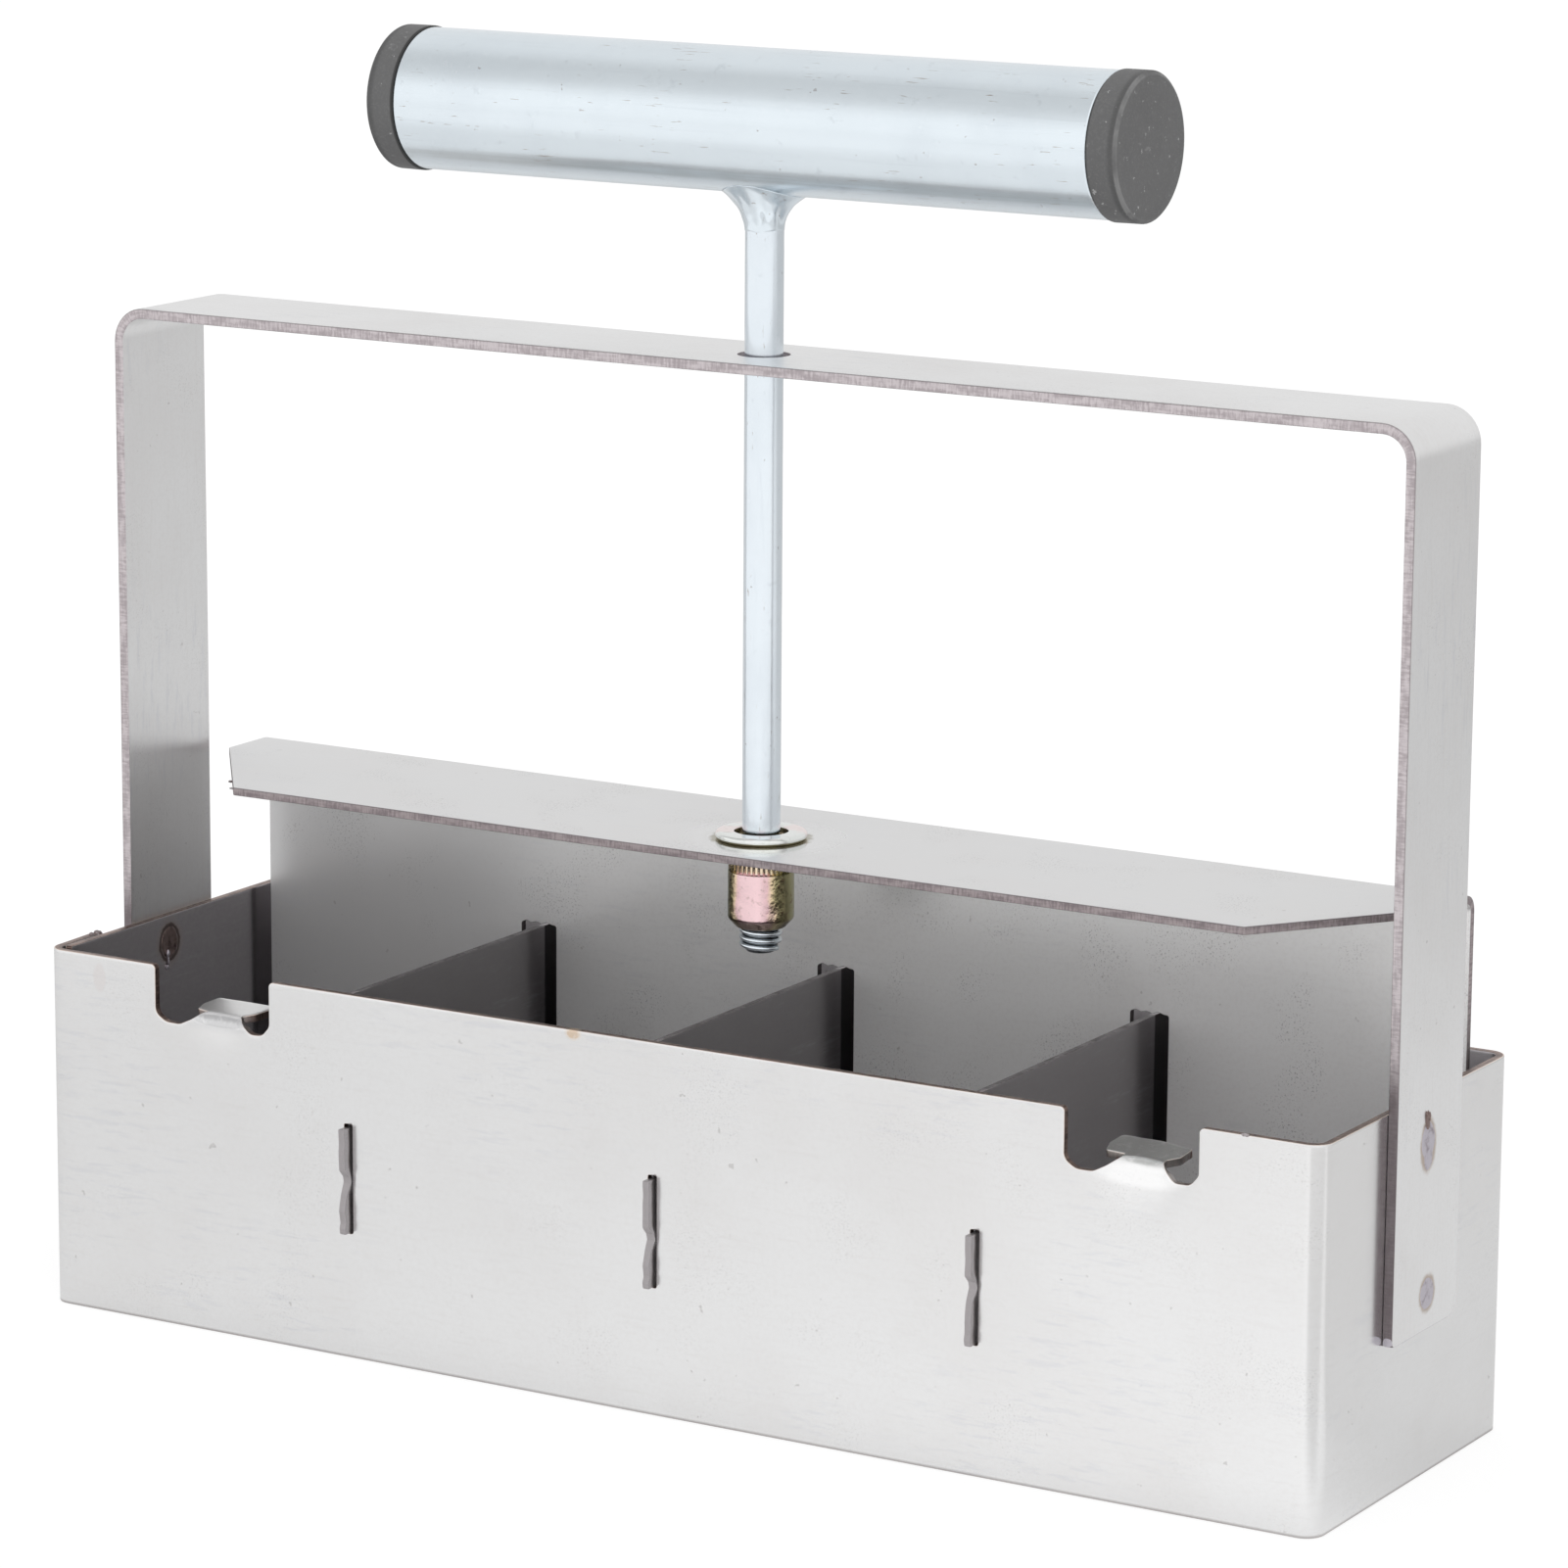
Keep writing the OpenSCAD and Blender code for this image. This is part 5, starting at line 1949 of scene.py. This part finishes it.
@dataclass(frozen=True)
class Studio:
    """The pale floor, the soft light and the camera at the photograph's angle."""

    camera_place: Triple = (443.49 * MM, -739.11 * MM, 267.85 * MM)
    yaw: float = -0.5368
    pitch: float = 0.2096
    roll: float = -0.0064
    focal_pixels: float = 6420.4
    frame_pixels: float = 1601.0
    sensor: float = 36.0
    floor_half: float = 14.0
    seen_glow: float = 1.15
    ahead_glow: tuple[float, float] = (0.825, 1.325)
    behind_glow: float = 0.735
    corner_glow: float = 0.80
    far_glow: tuple[float, float] = (1.12, 0.49)
    side_glow: float = 0.95
    rear_to_front: tuple[float, float] = (0.87, 1.08)
    dim_zone: Triple = (-0.50, -0.385, 0.776)
    dim_share: float = 0.68

    def camera(self) -> None:
        """Sets the camera as it was fitted to the photograph."""
        side, front = math.sin(self.yaw), math.cos(self.yaw)
        level_share, rise = math.cos(self.pitch), math.sin(self.pitch)
        ahead = Vector((side * level_share, front * level_share, -rise))
        level = Vector((front, -side, 0))
        down = ahead.cross(level)
        right = level * math.cos(self.roll) + down * math.sin(self.roll)
        below = down * math.cos(self.roll) - level * math.sin(self.roll)
        data = bpy.data.cameras.new("camera")
        data.sensor_width = self.sensor
        data.lens = self.focal_pixels / self.frame_pixels * self.sensor
        data.clip_start, data.clip_end = 0.01, 60
        camera = linked("camera", data)
        turn = Matrix((right, -below, -ahead)).transposed().to_4x4()
        camera.matrix_world = Matrix.Translation(self.camera_place) @ turn
        bpy.context.scene.camera = camera

    def floor(self) -> None:
        """Lays a white floor that keeps the shadow and can't be seen from below."""
        half = self.floor_half
        corners = [(-half, -half), (half, -half), (half, half), (-half, half)]
        mesh = bpy.data.meshes.new("floor")
        mesh.from_pydata([(*corner, -0.03 * MM) for corner in corners], [], [(0, 1, 2, 3)])
        paint = Paint.named("floor_white")
        glossy = paint.wire("ShaderNodeLightPath", output="Is Glossy Ray")
        seen = paint.wire("ShaderNodeLightPath", output="Is Camera Ray") + glossy
        place = paint.object_place()
        across, deep = paint.split(place)[:2]
        ahead = paint.step(across, -0.22, 0.22, *self.ahead_glow)
        aside = paint.step(across, 0.105, 0.135)
        ahead = ahead + aside * (self.corner_glow - ahead)
        front = paint.step(deep, -0.055, 0.01, 1.0, 0.0)
        near = front * (ahead - self.behind_glow) + self.behind_glow
        near = near + aside * paint.step(deep, -0.05, -0.02) * paint.step(deep, 0.02, 0.0) * 0.3
        far = paint.step(deep, -0.15, 0.25, *self.far_glow)
        beside = paint.step(across, 0.40, 0.55) * paint.step(deep, 0.40, 0.25)
        far = far + beside * paint.step(deep, -0.15, 0.05) * (self.side_glow - far)
        away = paint.step(paint.distance(place, (0, 0, 0), (0.8, 1.2, 0)), 0.26, 0.46)
        mirrored = near + away * (far - near)
        strength = glossy * (mirrored - self.seen_glow) + self.seen_glow
        matte = paint.wire("ShaderNodeBsdfDiffuse", {"Color": (0.86, 0.86, 0.86, 1)})
        glow = paint.wire("ShaderNodeEmission", {"Color": (1, 1, 1, 1), "Strength": strength})
        lit = paint.wire("ShaderNodeMixShader", {0: seen * 0.62, 1: matte, 2: glow})
        clear = paint.wire("ShaderNodeBsdfTransparent")
        below = paint.wire("ShaderNodeNewGeometry", output="Backfacing")
        both = paint.wire("ShaderNodeMixShader", {0: below, 1: lit, 2: clear})
        paint.node("ShaderNodeOutputMaterial", {"Surface": both})
        paint.owner.cycles.emission_sampling = "NONE"
        mesh.materials.append(paint.owner)
        linked("floor", mesh)

    def world(self) -> None:
        """Lights the scene from all round, brighter in front, and shows white behind it."""
        paint = Paint(bpy.data.worlds.new("studio"))
        bpy.context.scene.world = paint.owner
        seen = paint.wire("ShaderNodeLightPath", output="Is Camera Ray")
        direction = paint.wire("ShaderNodeTexCoord", output="Generated")
        deep = paint.split(direction)[1]
        light = paint.step(deep, 0.25, -0.55, *self.rear_to_front)
        away = paint.distance(direction, self.dim_zone, (1, 1, 1))
        dim = paint.step(away, 0.16, 0.62, self.dim_share, 1.0)
        strength = seen + (1 - seen) * (light * dim)
        back = paint.wire("ShaderNodeBackground", {"Color": (1, 1, 1, 1), "Strength": strength})
        paint.node("ShaderNodeOutputWorld", {"Surface": back})

    def lamp(self, name: str, place: Sequence[float], size: float, watts: float) -> None:
        """Hangs one square soft lamp that points at the blocker."""
        data = bpy.data.lights.new(name, "AREA")
        data.size = size
        data.energy = watts
        lamp = linked(name, data)
        lamp.visible_glossy = False
        lamp.location = place
        aim = Vector((0, 0, 0.06)) - Vector(place)
        lamp.rotation_euler = aim.to_track_quat("-Z", "Y").to_euler()

    def build(self) -> None:
        """Builds the whole studio."""
        self.camera()
        self.floor()
        self.world()
        self.lamp("key_lamp", (0.9, -1.1, 1.3), 1.1, 5.0)
        self.lamp("fill_lamp", (-1.4, 0.2, 1.0), 1.1, 3.0)
        bpy.context.scene.view_settings.view_transform = "Standard"


def patch(place: Sequence[float], half_sizes: Sequence[float], **tints: object) -> Mark:
    """A spot given in millimetres, without a ring unless the tints ask for one."""
    return Mark(mm(*place), mm(*half_sizes), **{"ring_share": 0.0, **tints})


def mould_marks() -> list[Mark]:
    """The burnt rings inside the end walls, the spots of the front wall, a painted shade on the
    left stop's bend and a painted highlight on the wall below the right stop.
    """
    rings = (
        (-101.3, -2.4, 49.2, 2.4, 2.75),
        (-101.3, 0.4, 26.6, 2.1, 2.2),
        (101.3, -0.5, 48.2, 2.3, 3.1),
        (101.3, 0.5, 26.6, 2.1, 2.2),
    )
    burnt = {"ring": (0.10, 0.065, 0.055), "ring_share": 0.85}
    marks = [patch(row[:3], (4, *row[3:]), **burnt) for row in rings]
    # Painted shade on the left stop tab's bend
    bend_shade = {"halo": (0.66, 0.66, 0.67), "halo_share": 0.5, "halo_reach": 2.2}
    bend_shade.update(body=(0.52, 0.52, 0.53), body_share=0.5)
    marks.append(patch((-73.15, -29, 46.4), (4.6, 2.0, 0.9), **bend_shade))
    # Painted highlight on the wall that is drawn in below the right stop tab
    drawn = {"halo": (0.98, 0.98, 0.98), "halo_share": 0.6, "halo_reach": 1.8}
    marks.append(patch((75.2, -29, 45.4), (4.4, 3, 1.2), **drawn))
    thumbed = {"halo": (0.74, 0.69, 0.68), "halo_share": 0.45, "halo_reach": 1.5}
    marks.append(patch((-94.3, -29, 50.2), (0.9, 2, 1.7), **thumbed))
    smudge = {"halo_share": 0.0, "body": (0.56, 0.57, 0.555), "body_share": 0.6}
    marks.append(patch((75, -24.5, 48.3), (8, 3.3, 3), **smudge))
    rust = {"halo": (0.78, 0.66, 0.54), "halo_share": 0.5}
    rust.update(body=(0.66, 0.48, 0.32), body_share=0.6)
    marks.append(patch((-12.8, -29, 52.9), (1.0, 1.5, 0.7), **rust))
    return marks


def nut_glare_and_shade() -> list[Mark]:
    """A painted glare, the head's reflection, in front of the rivet nut, and a painted dark ring of
    shade and reflection round its head on the flange.
    """
    # Painted reflection of the nut's head, as a glare
    glare = {"halo": (0.97, 0.98, 0.94), "halo_share": 0.8}
    # Painted shade and reflection in a dark ring round the head
    ring = {"ring": (0.22, 0.195, 0.11), "ring_share": 0.85, "halo_share": 0.0}
    return [
        patch((4.8, -8.4, 76.8), (2.2, 2.2, 3), **glare),
        patch((0, 0, 76.8), (6.6, 6.6, 3), **ring),
    ]


def spot_marks() -> list[Mark]:
    """The tan halos round the weld spots on the strap's legs."""
    tan = {"halo": (0.40, 0.30, 0.23), "halo_share": 0.75, "halo_reach": 1.32}
    spots = ((0.5, 26.6, 2.15, 2.3), (-0.45, 47.4, 2.1, 3.3))
    return [
        patch((side.value * 104, y, z), (4, *half), **tan) for side in Side for y, z, *half in spots
    ]


def finishes() -> Worn:
    """Makes every material of the blocker, by the name of what wears it."""
    steels = {
        "mould": RolledSteel(
            "mould_sheet_steel",
            # Painted lightening of the inner face, and painted shade on the left end wall's inner
            # face
            brightened_inner_tone=(0.94, 0.90, 0.93),
            shaded_left_tone=(0.46, 0.435, 0.455),
            inner_metal=0.945,
            # A painted contact shadow along the bottom edge
            contact_shadow_share=0.6,
            marks=mould_marks(),
        ),
        "divider": RolledSteel(
            "divider_sheet_steel",
            (0.35, 0.336, 0.345),
            stain=(0.29, 0.275, 0.28),
            cut_light=(0.33, 0.31, 0.32),
            cut_dark=(0.16, 0.145, 0.15),
            arris_share=0.1,
            rough=0.30,
            metal=0.89,
            inner_metal=0.89,
            struck_y=29.1 * MM,
            # Painted shadow behind the ejector's panel
            painted_shadow_y=21.5 * MM,
        ),
        "strap": RolledSteel(
            "strap_bar_steel",
            (0.84, 0.84, 0.842),
            cut_light=(0.63, 0.58, 0.595),
            cut_dark=(0.43, 0.385, 0.40),
            # A painted dark line along the outer arris
            arris=(0.25, 0.225, 0.23),
            arris_share=0.75,
            half_thickness=0.75 * MM,
            rough=0.34,
            # Painted shade on the cut edges below the mould's top, and a painted contact shadow
            # against its walls
            low_z=53.4 * MM,
            marks=spot_marks(),
        ),
        "ejector": RolledSteel(
            "ejector_sheet_steel",
            (0.70, 0.70, 0.703),
            # Painted lightening of the panel's inner face, and painted shade towards its left end
            brightened_inner_tone=(0.98, 0.98, 0.975),
            shaded_left_tone=(0.66, 0.66, 0.663),
            shaded_left_span=(-88 * MM, -8 * MM),
            cut_light=(0.36, 0.31, 0.315),
            cut_dark=(0.21, 0.175, 0.185),
            # A painted dark line along the outer arris
            arris=(0.16, 0.145, 0.15),
            arris_share=0.75,
            rough=0.30,
            metal=0.58,
            inner_metal=0.41,
            stained=0.1,
            lines=(2600, 90, 2600),
            relief=0.001 * MM,
            # Painted shade on the slot edges below the mould's top, and a painted shadow along
            # their inner arris there
            low_z=54 * MM,
            shaded_low_tone=(0.035, 0.028, 0.028),
            polish_r=9 * MM,
            polish_z=76.8 * MM,
            specks=0.42,
            marks=nut_glare_and_shade(),
        ),
    }
    zincs = {
        "pin": BrightZinc(
            "pin_turned_steel", (900, 900, 4000), (0.62, 0.62, 0.63), (0.5, 0.5, 0.51), 0.3
        ),
        "screw": BrightZinc("screw_zinc", (700, 700, 700)),
        "rod": BrightZinc(
            "rod_bright_zinc",
            (1100, 1100, 90),
            (0.80, 0.86, 0.91),
            (0.66, 0.72, 0.78),
            0.2,
            # The thread's grooves get painted shade
            groove_radius=2.58 * MM,
        ),
        # The tube's dark_reflection_z band is a painted reflection of the parts below
        "tube": BrightZinc("tube_bright_zinc", (28, 1300, 1300), rough=0.25, dark_reflection_z=170.3 * MM),
        "bead": BrightZinc("bead_bright_zinc", (500, 500, 500), rough=0.15, relief=0.1 * MM),
    }
    others = {
        "nut": YellowZinc(),
        "cap": Rubber(),
        "tack": WeldMetal("tack_weld_metal", burnt_share=0.6),
        "scar": WeldMetal("scar_weld_metal", (0.27, 0.205, 0.19), (0.085, 0.055, 0.05), 0.45),
        "spot": WeldMetal("spot_weld_metal", (0.56, 0.53, 0.58), (0.34, 0.30, 0.33), 0.4),
    }
    return {worn: finish.material() for worn, finish in {**steels, **zincs, **others}.items()}


def main() -> None:
    """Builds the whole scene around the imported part."""
    logging.basicConfig(level=logging.INFO, format="%(message)s")
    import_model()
    Studio().build()
    worn = finishes()
    for assembly in (Mould(), Strap(), Ejector(), Plunger()):
        assembly.build(worn)


if __name__ == "__main__":
    main()
